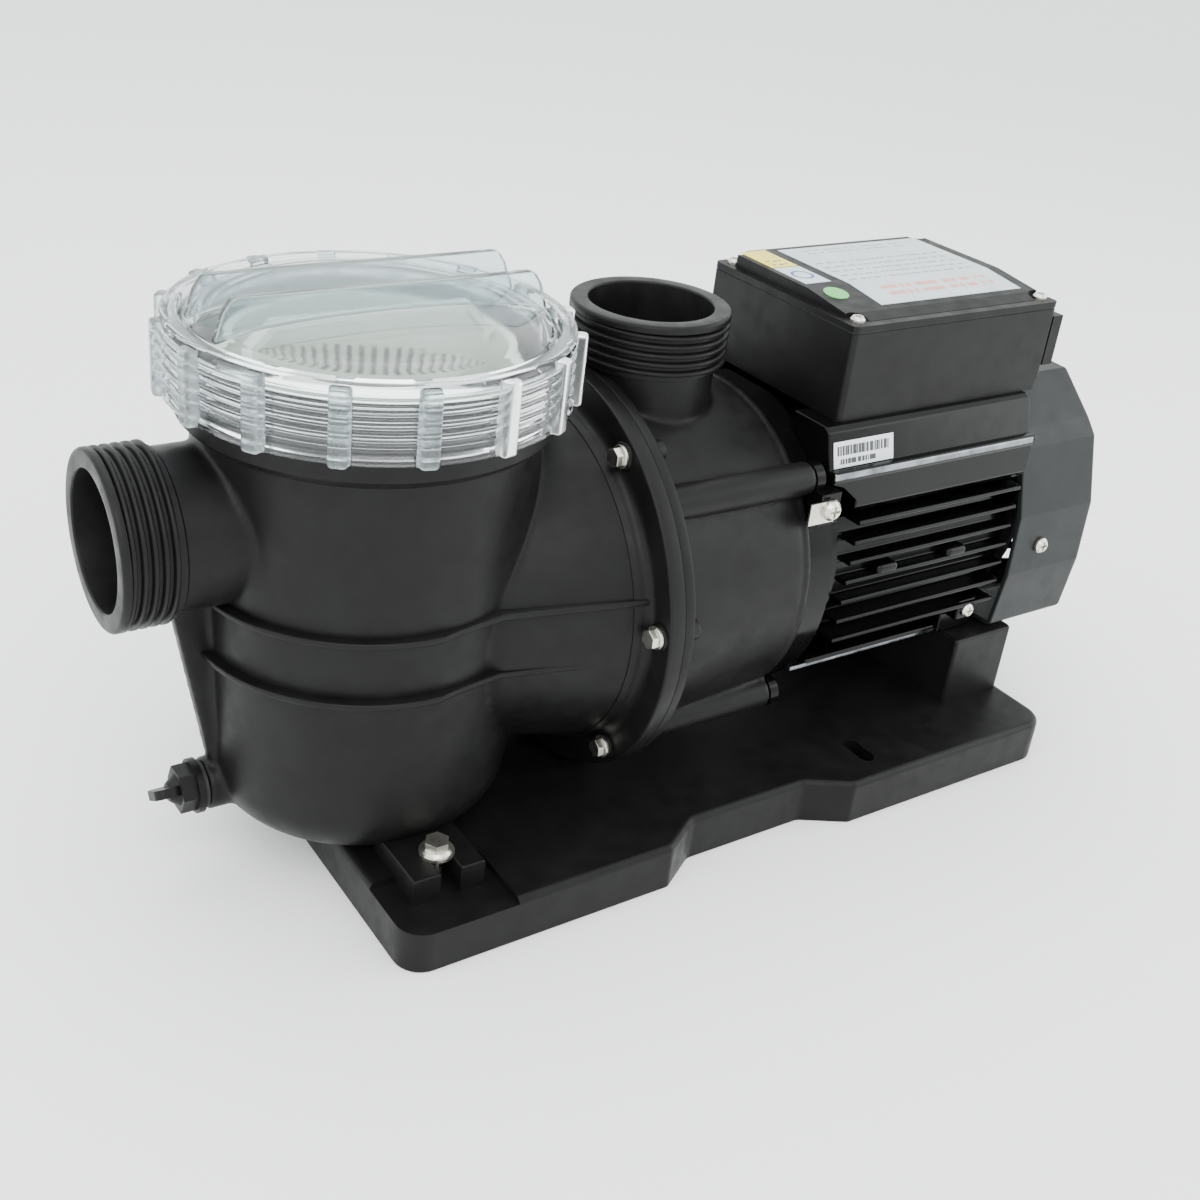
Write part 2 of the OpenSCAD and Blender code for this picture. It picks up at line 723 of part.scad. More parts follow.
module motor_casing() {
    gap = 0.4;
    color(gloss_black) place() difference() {
        union() {
            bar_along_x(casing_x, cowl_x - 3 - casing_x) casing_section();
            difference() {
                casing_reach();
                on_shaft(motor_x) cylinder(r = bracket_r_back - 1.3 + gap, h = step_len + gap);
                on_shaft(motor_x) cylinder(r = shoulder_r + gap, h = shield_len);
            }
            for (s = [-1, 1]) mirror([0, s < 0 ? 1 : 0, 0]) {
                translate([pedestal_x - 4, 46, foot_top]) cube([24, 18, 12]);
                translate([pedestal_x - 1, 55, axis_h - 45]) cube([13, 17, 12]);
                for (x = [248, 297])
                    translate([x, 60, axis_h - 2.5]) cube([14, fin_reach - 59.5, 6]);
            }
        }
        on_shaft(casing_x - 1) cylinder(r = stator_r, h = cowl_x);
        for (s = [-1, 1])
            translate([pedestal_x + 5.5, s * 40, axis_h - 39]) rotate([-s * 90, 0, 0]) {
                cylinder(r = 2.05, h = 40);
                translate([0, 0, 32]) cylinder(r = 5, h = 10);
            }
        translate([258, 0, axis_h + 50]) cylinder(r = 9, h = 40);
    }
}

module front_shield() {
    color(gloss_black) place() difference() {
        union() {
            on_shaft(motor_x) cylinder(r = bracket_r_back - 1.3, h = step_len);
            on_shaft(motor_x + 1) cylinder(r = shoulder_r, h = shield_len - 1.05);
            on_shaft(motor_x - 8) cylinder(r = chamber_r - 0.2, h = 9);
            at_motor_bolts(motor_x + 0.05) cylinder(r = boss_r, h = 5);
            translate([motor_x + 0.05, -79, axis_h + 38]) cube([12, 22, 16]);
        }
        translate([motor_x - 1, -box_half, box_floor]) cube([shield_len + 2, 2 * box_half, 10]);
        on_shaft(motor_x - 10) cylinder(r = 14, h = 40);
        on_shaft(bearing_xs[0]) cylinder(r = bearing_r, h = 40);
        on_shaft(motor_x + 3) ring(58, 26, shield_len);
        on_shaft(motor_x - 9) ring(68, 24, 8);
        at_motor_bolts(motor_x - 1) cylinder(r = bolt_r + 0.05, h = 20);
        at_motor_bolts(motor_x + 2) cylinder(r = 5.4, h = 13);
        translate([earth_x, -81, earth_z]) rotate([-90, 0, 0]) cylinder(r = 2, h = 14);
    }
}

module rear_shield() {
    color(grey_metal) place() difference() {
        union() {
            on_shaft(cowl_x - 14) cylinder(r = bearing_r + 4, h = 16);
            on_shaft(cowl_x - 7) cylinder(r = stator_r - 0.1, h = 5);
            on_shaft(cowl_x - 2.95) cylinder(r = core_r, h = 2.9);
        }
        on_shaft(cowl_x - 20) cylinder(r = bearing_r, h = 20);
        on_shaft(cowl_x - 20) cylinder(r = 12, h = 40);
    }
}

module bearing_outer_rings() {
    color(steel) place() for (x = bearing_xs)
        on_shaft(x) difference() {
            ring(bearing_r, 16.4, bearing_w);
            translate([0, 0, bearing_w / 2]) rotate_extrude()
                translate([ball_circle_r, 0]) circle(r = ball_r + 0.3, $fn = 48);
        }
}

module bearing_inner_rings() {
    color(steel) place() for (x = bearing_xs)
        on_shaft(x) difference() {
            ring(12.1, shaft_r, bearing_w);
            translate([0, 0, bearing_w / 2]) rotate_extrude()
                translate([ball_circle_r, 0]) circle(r = ball_r + 0.3, $fn = 48);
        }
}

module bearing_balls() {
    color(steel) place() for (x = bearing_xs)
        on_shaft(x + bearing_w / 2) spread(balls_each, ball_circle_r) sphere(r = ball_r, $fn = 48);
}

module cooling_fan() {
    color(impeller_black) place() on_shaft(fan_x) difference() {
        union() {
            cylinder(r = 15, h = 22);
            cylinder(r = 56, h = 2.5);
            spread(blade_count, 0) translate([12, -1.2, 0]) cube([44, 2.4, 20]);
        }
        translate([0, 0, -1]) cylinder(r = 7, h = 30);
        translate([0, 0, 22]) rotate_extrude() polygon([[48, 1], [58, 1], [58, -12]]);
    }
}

// Cross-section of the fan cowl, shrunk inwards by the wall
module cowl_section(wall) {
    k = 1 - wall / cowl_half_h;
    half = [[0, 79], [38, 78], [60, 58], [67, 50], [76.5, 14], [77.5, -20], [74, -53], [44, -55], [30, -63],
            [0, -67]];
    last = len(half) - 1;
    polygon(concat([for (i = [0:last]) k * half[i]],
                   [for (i = [last - 1:-1:1]) [-k * half[i][0], k * half[i][1]]]));
}

// Block that trims the back edge of the cowl to a bevel, seen from the side or from above
module bevel_profile(reach) {
    polygon([[cowl_x - 10, -reach], [cowl_end - 11, -reach], [cowl_end, 12 - reach], [cowl_end, reach - 12],
             [cowl_end - 11, reach], [cowl_x - 10, reach]]);
}

module fan_cowl() {
    wall = 2.5;
    grille_r = 54;
    grille_rings = 5;
    color(black) place() difference() {
        intersection() {
            bar_along_x(cowl_x, cowl_end - cowl_x) cowl_section(0);
            translate([0, 0, axis_h - 90]) linear_extrude(180) bevel_profile(cowl_half_w);
            translate([0, 90, axis_h + 6]) rotate([90, 0, 0]) linear_extrude(180) bevel_profile(cowl_half_h);
        }
        intersection() {
            bar_along_x(cowl_x - 1, cowl_end - cowl_x - wall + 1) cowl_section(wall);
            translate([-wall, 0, axis_h - 90]) linear_extrude(180) bevel_profile(cowl_half_w - wall);
            translate([-wall, 90, axis_h + 6]) rotate([90, 0, 0]) linear_extrude(180)
                bevel_profile(cowl_half_h - wall);
        }
        on_shaft(cowl_end - wall - 1) difference() {
            for (i = [0:grille_rings - 1])
                ring(grille_r - i * 9.5, grille_r - i * 9.5 - 5.5, wall + 2);
            for (a = [0:45:135])
                rotate([0, 0, a]) translate([-60, -2, -1]) cube([120, 4, wall + 4]);
        }
        for (s = [-1, 1])
            translate([screw_x, s * 66, axis_h - 5]) rotate([-s * 90, 0, 0]) cylinder(r = 2.2, h = 20);
    }
}

module cowl_screws() {
    color(steel) place() for (s = [-1, 1])
        translate([screw_x, s * 77.3, axis_h - 5]) rotate([-s * 90, 0, 0]) pan_screw(4.4, 3, 2.1, 7);
}

// ---------------------------------------------------------------- terminal box

module box_outline(x0, x1, y0, y1, r) {
    translate([x0 + r, y0]) square([x1 - x0 - 2 * r, y1 - y0]);
    translate([x0, y0 + r]) square([x1 - x0, y1 - y0 - 2 * r]);
    for (x = [x0 + r, x1 - r], y = [y0 + r, y1 - r])
        translate([x, y]) circle(r = r, $fn = 48);
}

module at_cover_screws(z) {
    for (x = [box_x + screw_inset, box_end - screw_inset])
        for (y = [box_near + screw_inset, box_far - screw_inset])
            translate([x, y, z]) children();
}

module terminal_box() {
    color(black) place() difference() {
        union() {
            translate([0, 0, box_floor + 0.05]) linear_extrude(box_top - box_floor - 0.05)
                box_outline(box_x, box_end, box_near, box_far, 3);
            translate([box_end - 1, box_near, gland_z - 13]) cube([7, 26, 26]);
        }
        difference() {
            translate([0, 0, box_floor + box_wall]) linear_extrude(60)
                box_outline(box_x + box_wall, box_end - 2 * box_wall, box_near + box_wall,
                            box_far - box_wall, 2);
            at_cover_screws(box_floor) cylinder(r = 5, h = 60);
        }
        translate([258, 0, box_floor - 1]) cylinder(r = 9, h = 10);
        translate([box_end + 5, box_near - 1, box_floor + 2]) rotate([-90, 0, 0])
            cylinder(r = 9, h = box_far - box_near + 2);
        at_cover_screws(box_top - 14) cylinder(r = 1.7, h = 20);
        translate([box_end - 14, gland_y, gland_z]) rotate([0, 90, 0]) cylinder(r = gland_r + 0.1, h = 30);
    }
}

module terminal_cover() {
    rim = 3;
    gasket = 0.8;
    color(black) place() difference() {
        union() {
            translate([0, 0, box_top + gasket]) linear_extrude(rim)
                box_outline(box_x, box_end, box_near, box_far, 3);
            translate([cover_x, 0, 0]) rotate([90, 0, 90]) linear_extrude(cover_end - cover_x)
                polygon(concat([[box_near + 5, box_top + 1]], cover_line, [[box_far - 3, box_top + 1]]));
        }
        translate([cover_x + 3, 0, -3]) rotate([90, 0, 90]) linear_extrude(cover_end - cover_x - 6)
            polygon(concat([[box_near + 8, box_top]], [for (p = cover_line) [p[0] * 0.95, p[1]]],
                           [[box_far - 6, box_top]]));
        at_cover_screws(box_top + gasket + rim) cylinder(r = 6, h = 20);
        at_cover_screws(box_top) cylinder(r = 2.2, h = 20);
    }
}

module cover_gasket() {
    color(rubber_black) place() translate([0, 0, box_top]) linear_extrude(0.75) difference() {
        box_outline(box_x + 0.5, box_end - 0.5, box_near + 0.5, box_far - 0.5, 3);
        box_outline(box_x + 13, box_end - 13, box_near + 13, box_far - 13, 3);
        at_cover_screws(0) circle(r = 2.4, $fn = 32);
    }
}

module cover_screws() {
    color(steel) place() at_cover_screws(box_top + 3.8) pan_screw(3.6, 2.6, 1.6, 10);
}

module terminal_block() {
    ways = 5;
    color(cream) place() translate([232, -44, box_floor + box_wall]) difference() {
        cube([ways * 10, 20, 17]);
        for (i = [0:ways - 1]) {
            translate([5 + i * 10, 10, 6]) cylinder(r = 2.6, h = 20, $fn = 32);
            translate([5 + i * 10, -1, 5]) rotate([-90, 0, 0]) cylinder(r = 2, h = 8, $fn = 32);
        }
    }
}

module capacitor() {
    color(label_grey) place() translate([240, 18, box_floor + box_wall + 18]) rotate([0, 90, 0]) {
        cylinder(r = 17.5, h = 78);
        translate([0, 0, 78 - eps]) cylinder(r = 15, h = 3);
        for (y = [-6, 6])
            translate([-3, y - 0.5, 80]) cube([6, 1, 8]);
    }
}

module cable_gland() {
    neck_r = 5.6;
    color(black) place() translate([box_end, gland_y, gland_z]) rotate([0, 90, 0]) difference() {
        union() {
            translate([0, 0, -13.5]) cylinder(r = gland_r, h = 20.5);
            translate([0, 0, 6.05]) hexagon(15.5, 2);
            translate([0, 0, 8]) cylinder(r = neck_r, h = 2.2);
        }
        translate([0, 0, -15]) cylinder(r = lead_r, h = 40);
    }
}

module gland_nut() {
    neck_gap = 5.65;
    color(black) place() translate([box_end + 8.1, gland_y, gland_z]) rotate([0, 90, 0]) difference() {
        union() {
            hexagon(15.5, 2.4);
            translate([0, 0, 2.4 - eps]) cylinder(r1 = 7.2, r2 = 5.4, h = 1.5);
        }
        translate([0, 0, -1]) cylinder(r = neck_gap, h = 3.2);
        cylinder(r = lead_r, h = 40);
    }
}

// ---------------------------------------------------------------- fasteners

module housing_bolts() {
    color(steel) place() at_flange_bolts(joint_x - flange_thick - 3.1) {
        translate([0, 0, -3.5]) hexagon(8, 3.5);
        translate([0, 0, -eps]) cylinder(r = flange_bolt_r, h = 20, $fn = 48);
    }
}

module housing_washers() {
    color(steel) place() at_flange_bolts(joint_x - flange_thick - 3.05) ring(5.4, flange_bolt_r + 0.2, 1.5);
}

module flange_inserts() {
    color(brass) place() at_flange_bolts(joint_x + 0.1)
        ring(insert_r, flange_bolt_r, body_flange + boss_end - 1.2);
}

module motor_bolts() {
    color(steel) place() at_motor_bolts(motor_x + 2.05) difference() {
        union() {
            cylinder(r = 5, h = 4, $fn = 48);
            translate([0, 0, -23]) cylinder(r = bolt_r, h = 23 + eps, $fn = 48);
        }
        translate([0, 0, 1.8]) hexagon(4, 4);
    }
}

module foot_bolts() {
    seat = base_h + foot_h + 0.05;
    color(steel) place() for (y = [-1, 1] * foot_bolt_y)
        translate([foot_bolt_x, y, seat]) {
            cylinder(r = 8, h = 1.6);
            translate([0, 0, 1.6 - eps]) cylinder(r1 = 7, r2 = 5.6, h = 1.2);
            translate([0, 0, 2.8 - 2 * eps]) hexagon(10, 4);
            translate([0, 0, -26]) cylinder(r = bolt_r, h = 26 + eps, $fn = 48);
        }
}

module earth_tag() {
    color(steel) place() difference() {
        translate([motor_x - 7, -80.4, axis_h + 40]) cube([15.5, 1.2, 11]);
        translate([earth_x, -82, earth_z]) rotate([-90, 0, 0]) cylinder(r = 2.1, h = 14);
    }
}

module earth_screw() {
    color(steel) place() translate([earth_x, -80.45, earth_z]) rotate([90, 0, 0])
        pan_screw(5, 3.6, 2, 10);
}

module casing_screws() {
    color(steel) place() for (s = [-1, 1])
        translate([pedestal_x + 5.5, s * 72.05, axis_h - 39]) rotate([-s * 90, 0, 0])
            pan_screw(4, 2.6, 2, 12);
}

// ---------------------------------------------------------------- labels

// Thin plate that lies on the cover's top between two Y values
module cover_label(x0, x1, y0, y1) {
    inner = [for (p = cover_line) if (p[0] > y0 && p[0] < y1) p];
    path = concat([[y0, lookup(y0, cover_line)]], inner, [[y1, lookup(y1, cover_line)]]);
    lift = 0.02;
    place() translate([x0, 0, 0]) rotate([90, 0, 90]) linear_extrude(x1 - x0)
        polygon(concat([for (p = path) [p[0], p[1] + lift]],
                       [for (i = [len(path) - 1:-1:0]) [path[i][0], path[i][1] + lift + label_thick]]));
}

module rating_label() {
    color(label_grey) cover_label(cover_x + 26, cover_end - 8, -44, box_far - 12);
}

module yellow_sticker() {
    color(label_yellow) cover_label(cover_x + 3, cover_x + 19, 10, box_far - 10);
}

module ring_sticker() {
    color(label_grey) cover_label(cover_x + 3, cover_x + 19, -15, 9);
}

module green_sticker() {
    color(label_green) intersection() {
        cover_label(cover_x + 3, cover_x + 19, -34, -20.5);
        place() translate([cover_x + 11, -28, box_top]) cylinder(r = 6.2, h = 30);
    }
}

module side_label() {
    lean = atan2(5, motor_top - 2 - panel_high - 1);
    color(label_grey) place()
        translate([207, 4.05 - fin_reach, axis_h + panel_high + 2.5]) rotate([-lean, 0, 0])
            translate([0, -label_thick, 0]) cube([38, label_thick, 12.5]);
}

base_plate();
strainer_housing();
lid_ring();
clear_lid();
lid_seal();
strainer_basket();
basket_handle();
drain_plug();
drain_seal();
pump_body();
body_seal();
diffuser();
diffuser_seal();
impeller();
impeller_nut();
seal_rotor();
seal_seat();
motor_shaft();
slinger();
motor_rotor();
motor_stator();
stator_windings();
motor_casing();
front_shield();
rear_shield();
bearing_outer_rings();
bearing_inner_rings();
bearing_balls();
cooling_fan();
fan_cowl();
cowl_screws();
terminal_box();
terminal_cover();
cover_gasket();
cover_screws();
terminal_block();
capacitor();
cable_gland();
gland_nut();
housing_bolts();
housing_washers();
flange_inserts();
motor_bolts();
foot_bolts();
earth_tag();
earth_screw();
casing_screws();
rating_label();
yellow_sticker();
ring_sticker();
green_sticker();
side_label();
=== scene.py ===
"""Looks of the pool pump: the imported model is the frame, and detailed pieces are built round it."""
import json
import math
import bmesh
import bpy
from mathutils import Matrix, Vector


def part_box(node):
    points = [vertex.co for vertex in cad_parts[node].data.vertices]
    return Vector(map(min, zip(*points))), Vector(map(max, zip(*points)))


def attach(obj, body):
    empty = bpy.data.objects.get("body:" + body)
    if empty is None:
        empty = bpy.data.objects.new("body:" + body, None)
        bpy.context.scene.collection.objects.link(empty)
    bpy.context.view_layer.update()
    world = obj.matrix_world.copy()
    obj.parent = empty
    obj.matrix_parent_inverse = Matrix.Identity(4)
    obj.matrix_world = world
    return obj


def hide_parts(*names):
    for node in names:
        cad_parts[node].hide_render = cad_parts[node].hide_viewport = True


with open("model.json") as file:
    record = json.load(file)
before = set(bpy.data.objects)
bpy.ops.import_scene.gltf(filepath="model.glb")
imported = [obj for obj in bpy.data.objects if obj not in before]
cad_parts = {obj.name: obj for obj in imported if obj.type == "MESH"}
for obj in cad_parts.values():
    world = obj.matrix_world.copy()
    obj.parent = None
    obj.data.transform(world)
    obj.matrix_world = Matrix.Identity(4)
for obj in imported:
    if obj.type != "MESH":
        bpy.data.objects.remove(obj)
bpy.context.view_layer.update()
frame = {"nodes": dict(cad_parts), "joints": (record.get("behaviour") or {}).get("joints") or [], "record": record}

MM = 0.001
TAU = 2 * math.pi

# -------------------- places taken from the frame
# Plan coordinates are millimetres, with x counted from the strainer's vertical axis and z from the floor.

lid_low, lid_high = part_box("clear_lid")
STRAINER_X = (lid_low.x + lid_high.x) / 2
MOUNTS = {m["name"]: m for m in frame["record"]["mounts"]}
JOINTS = {j["name"]: j for j in frame["joints"]}


def to_plan(point):
    return Vector(((point[0] - STRAINER_X) / MM, point[1] / MM, point[2] / MM))


def to_frame(point):
    return Vector((point[0] * MM + STRAINER_X, point[1] * MM, point[2] * MM))


def low(node):
    return to_plan(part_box(node)[0])


def high(node):
    return to_plan(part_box(node)[1])


SHAFT_Z = JOINTS["shaft_spin"]["pos_m"][2] / MM
SHAFT_AT = (0, 0, SHAFT_Z)
ALONG_X = (1, 0, 0)
SUCTION_X = low("strainer_housing").x
SUCTION_Z = to_plan(MOUNTS["suction_bore"]["pos_m"]).z
DISCHARGE_X = to_plan(MOUNTS["discharge_bore"]["pos_m"]).x
DISCHARGE_Z = high("pump_body").z
BORE_R = MOUNTS["suction_bore"]["dims"]["r_mm"]
THREAD_R = MOUNTS["suction_thread"]["dims"]["r_mm"]
THREAD_LENGTH = MOUNTS["suction_thread"]["dims"]["length_mm"]
BASE_TOP = to_plan(MOUNTS["base_slots"]["pos_m"]).z
RIM_Z = high("strainer_housing").z
JOINT_X = high("strainer_housing").x
BRACKET_END = high("pump_body").x
FLANGE_R = high("pump_body").y
CASING_X = high("front_shield").x
NOSE_X = low("motor_casing").x
CASING_END = high("motor_casing").x
COWL_X = low("fan_cowl").x
COWL_END = high("fan_cowl").x
THREAD_ROOT = THREAD_R - 2.1
THREAD_PITCH = 4.2
SUCTION_NECK_R = 34.2
DISCHARGE_NECK_R = 33
POT_R = 74
POT_R_LOW = 70
CHAMBER_R = 76
DRAIN_SEAL_R = 11
FLANGE_THICK = 8
BOLT_CIRCLE_R = 92.5
CASING_CORE_R = 67
CASING_BEAD = 1
FIN_COUNT = 7
FIN_TOP = 31
FIN_PITCH = 11
FIN_THICK = 2.6
SLOT_X = 244
SLOT_Y = 90


# -------------------- mesh tools

def new_object(name, mesh):
    obj = bpy.data.objects.new(name, mesh)
    bpy.context.scene.collection.objects.link(obj)
    return obj


def build(name, points, faces):
    """An object from plan points, with its doubles merged and its faces turned outwards."""
    mesh = bpy.data.meshes.new(name)
    mesh.from_pydata([to_frame(p) for p in points], [], faces)
    bm = bmesh.new()
    bm.from_mesh(mesh)
    bmesh.ops.remove_doubles(bm, verts=bm.verts, dist=1e-6)
    bmesh.ops.dissolve_degenerate(bm, edges=bm.edges, dist=1e-7)
    bmesh.ops.delete(bm, geom=[e for e in bm.edges if e.is_wire], context="EDGES")
    bmesh.ops.recalc_face_normals(bm, faces=bm.faces)
    bm.to_mesh(mesh)
    bm.free()
    return new_object(name, mesh)


def bridge(name, loops, closed=False):
    """Solid skin over a row of loops with equal counts: closed like a ring, or capped at both ends."""
    count = len(loops[0])
    rows = len(loops)
    points = [p for loop in loops for p in loop]
    faces = []
    for i in range(rows if closed else rows - 1):
        j = (i + 1) % rows
        for k in range(count):
            m = (k + 1) % count
            faces.append((i * count + k, i * count + m, j * count + m, j * count + k))
    if not closed:
        faces.append(tuple(range(count)))
        faces.append(tuple((rows - 1) * count + k for k in range(count)))
    return build(name, points, faces)


def basis(axis):
    """Two directions across an axis, and the axis."""
    w = Vector(axis).normalized()
    u = Vector((0, 1, 0)) if abs(w.x) > 0.9 else Vector((1, 0, 0))
    return u, w.cross(u), w


def lathe(name, profile, origin, axis=(0, 0, 1), steps=160):
    """Turned solid: profile is a closed loop of (radius, height along the axis)."""
    u, v, w = basis(axis)
    origin = Vector(origin)
    loops = []
    for i in range(steps):
        a = TAU * i / steps
        across = u * math.cos(a) + v * math.sin(a)
        loops.append([origin + across * r + w * h for r, h in profile])
    return bridge(name, loops, closed=True)


def cylinder(name, radius, start, end, origin, axis=(0, 0, 1), steps=160):
    return lathe(name, [(0, start), (radius, start), (radius, end), (0, end)], origin, axis, steps)


def arc(centre, radius, start, end, steps=8):
    """Points on a circle from one angle to another, in degrees."""
    out = []
    for i in range(steps + 1):
        a = math.radians(start + (end - start) * i / steps)
        out.append((centre[0] + radius * math.cos(a), centre[1] + radius * math.sin(a)))
    return out


def rounded(points, radii, steps=6):
    """Closed outline with each corner turned into an arc. radii is one number or one for each corner."""
    out = []
    count = len(points)
    for i, point in enumerate(points):
        radius = radii[i] if isinstance(radii, (list, tuple)) else radii
        p = Vector(point)
        a = Vector(points[i - 1]) - p
        b = Vector(points[(i + 1) % count]) - p
        angle = a.angle(b)
        if radius <= 0 or angle > 3.1:
            out.append((p.x, p.y))
            continue
        cut = min(radius / math.tan(angle / 2), 0.49 * min(a.length, b.length))
        centre = p + (a.normalized() + b.normalized()).normalized() * (cut / math.cos(angle / 2))
        v0 = p + a.normalized() * cut - centre
        v1 = p + b.normalized() * cut - centre
        turn = math.atan2(v0.x * v1.y - v0.y * v1.x, v0.dot(v1))
        for k in range(steps + 1):
            q = centre + Matrix.Rotation(turn * k / steps, 2) @ v0
            out.append((q.x, q.y))
    return out


def inset(outline, distance):
    """A closed outline moved inwards, with the same number of points."""
    out = []
    count = len(outline)
    area = sum(p[0] * q[1] - q[0] * p[1] for p, q in zip(outline, outline[1:] + outline[:1]))
    distance = math.copysign(distance, area)
    for i in range(count):
        p = Vector(outline[i])
        before = p - Vector(outline[i - 1])
        after = Vector(outline[(i + 1) % count]) - p
        n1 = Vector((-before.y, before.x)).normalized()
        n2 = Vector((-after.y, after.x)).normalized()
        shift = (n1 + n2) / max(0.3, 1 + n1.dot(n2))
        q = p + shift * distance
        out.append((q.x, q.y))
    return out


def block(name, outline, start, end, place, edge=0.8, edge_start=None):
    """Bar with an outline, rounded at its two ends. place turns (a, b, h) into a plan point."""
    first = edge if edge_start is None else edge_start
    loops = []
    for k in range(4 if first > 0 else 1):
        a = math.pi / 2 * (1 - k / 3)
        loops.append([place(p[0], p[1], start + first * (1 - math.sin(a)))
                      for p in inset(outline, first * (1 - math.cos(a)))])
    for k in range(4 if edge > 0 else 1):
        a = math.pi / 2 * k / 3
        loops.append([place(p[0], p[1], end - edge * (1 - math.sin(a)))
                      for p in inset(outline, edge * (1 - math.cos(a)))])
    return bridge(name, loops)


def upright(a, b, h):
    return Vector((a, b, h))


def along_x(a, b, h):
    """Outline in y and height above the shaft, drawn out along x."""
    return Vector((h, a, b + SHAFT_Z))


def facing(angle):
    """Place function at an angle round the strainer's axis: outwards, sideways and up."""
    out = Vector((math.cos(angle), math.sin(angle), 0))
    side = Vector((-math.sin(angle), math.cos(angle), 0))
    return lambda a, b, h: out * a + side * b + Vector((0, 0, h))


def apply_modifiers(obj):
    graph = bpy.context.evaluated_depsgraph_get()
    mesh = bpy.data.meshes.new_from_object(obj.evaluated_get(graph))
    obj.modifiers.clear()
    obj.data = mesh
    return obj


def combine(obj, others, operation):
    """Adds or cuts other solids, which are used up."""
    for other in others:
        change = obj.modifiers.new("combine", "BOOLEAN")
        change.operation = operation
        change.solver = "MANIFOLD"
        change.object = other
        apply_modifiers(obj)
        bpy.data.objects.remove(other)
    return obj


def add(obj, *others):
    return combine(obj, others, "UNION")


def cut(obj, *others):
    return combine(obj, others, "DIFFERENCE")


def join(name, objects):
    """One object from several that stay separate solids."""
    bm = bmesh.new()
    for obj in objects:
        bm.from_mesh(obj.data)
        bpy.data.objects.remove(obj)
    mesh = bpy.data.meshes.new(name)
    bm.to_mesh(mesh)
    bm.free()
    return new_object(name, mesh)


def mould(obj, voxel, passes):
    """Melts the joints between the solids of a casting into fillets."""
    skin = obj.modifiers.new("skin", "REMESH")
    skin.mode = "VOXEL"
    skin.voxel_size = voxel * MM
    relax = obj.modifiers.new("relax", "SMOOTH")
    relax.factor = 0.5
    relax.iterations = passes
    return apply_modifiers(obj)


def smooth_shaded(obj, angle=32):
    """Smooth shading that keeps edges sharper than an angle."""
    obj.data.shade_smooth()
    obj.data.set_sharp_from_angle(angle=math.radians(angle))
    return obj


def weighted(obj):
    """Lets the flat faces beside rounded edges shade flat."""
    even = obj.modifiers.new("even", "WEIGHTED_NORMAL")
    even.keep_sharp = True
    return obj


def soften(obj, width, segments=3, angle=30):
    """Small rounded edges."""
    edge = obj.modifiers.new("edges", "BEVEL")
    edge.width = width * MM
    edge.segments = segments
    edge.limit_method = "ANGLE"
    edge.angle_limit = math.radians(angle)
    edge.use_clamp_overlap = True
    edge.harden_normals = False
    edge.miter_outer = "MITER_ARC"
    apply_modifiers(obj)
    return weighted(smooth_shaded(obj, 40))


def copy_node(node, name):
    """A CAD node's shape as a new mesh, with its flat faces made whole."""
    mesh = frame["nodes"][node].data.copy()
    mesh.materials.clear()
    bm = bmesh.new()
    bm.from_mesh(mesh)
    bmesh.ops.remove_doubles(bm, verts=bm.verts, dist=2e-6)
    bmesh.ops.dissolve_limit(bm, angle_limit=math.radians(0.5), verts=bm.verts, edges=bm.edges)
    bmesh.ops.recalc_face_normals(bm, faces=bm.faces)
    bm.to_mesh(mesh)
    bm.free()
    return new_object(name, mesh)


def dress(obj, body, slot, *nodes, material=None):
    """Gives a finished piece its material and body, and hides the CAD nodes that it stands for."""
    obj.data.materials.clear()
    obj.data.materials.append(material or MATERIALS[slot])
    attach(obj, body)
    if nodes:
        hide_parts(*nodes)
    return obj


# -------------------- materials

def srgb(r, g, b):
    """A colour from 0 to 255 screen values."""
    return tuple(((c / 255 + 0.055) / 1.055) ** 2.4 if c > 10 else c / 3294.6 for c in (r, g, b)) + (1,)


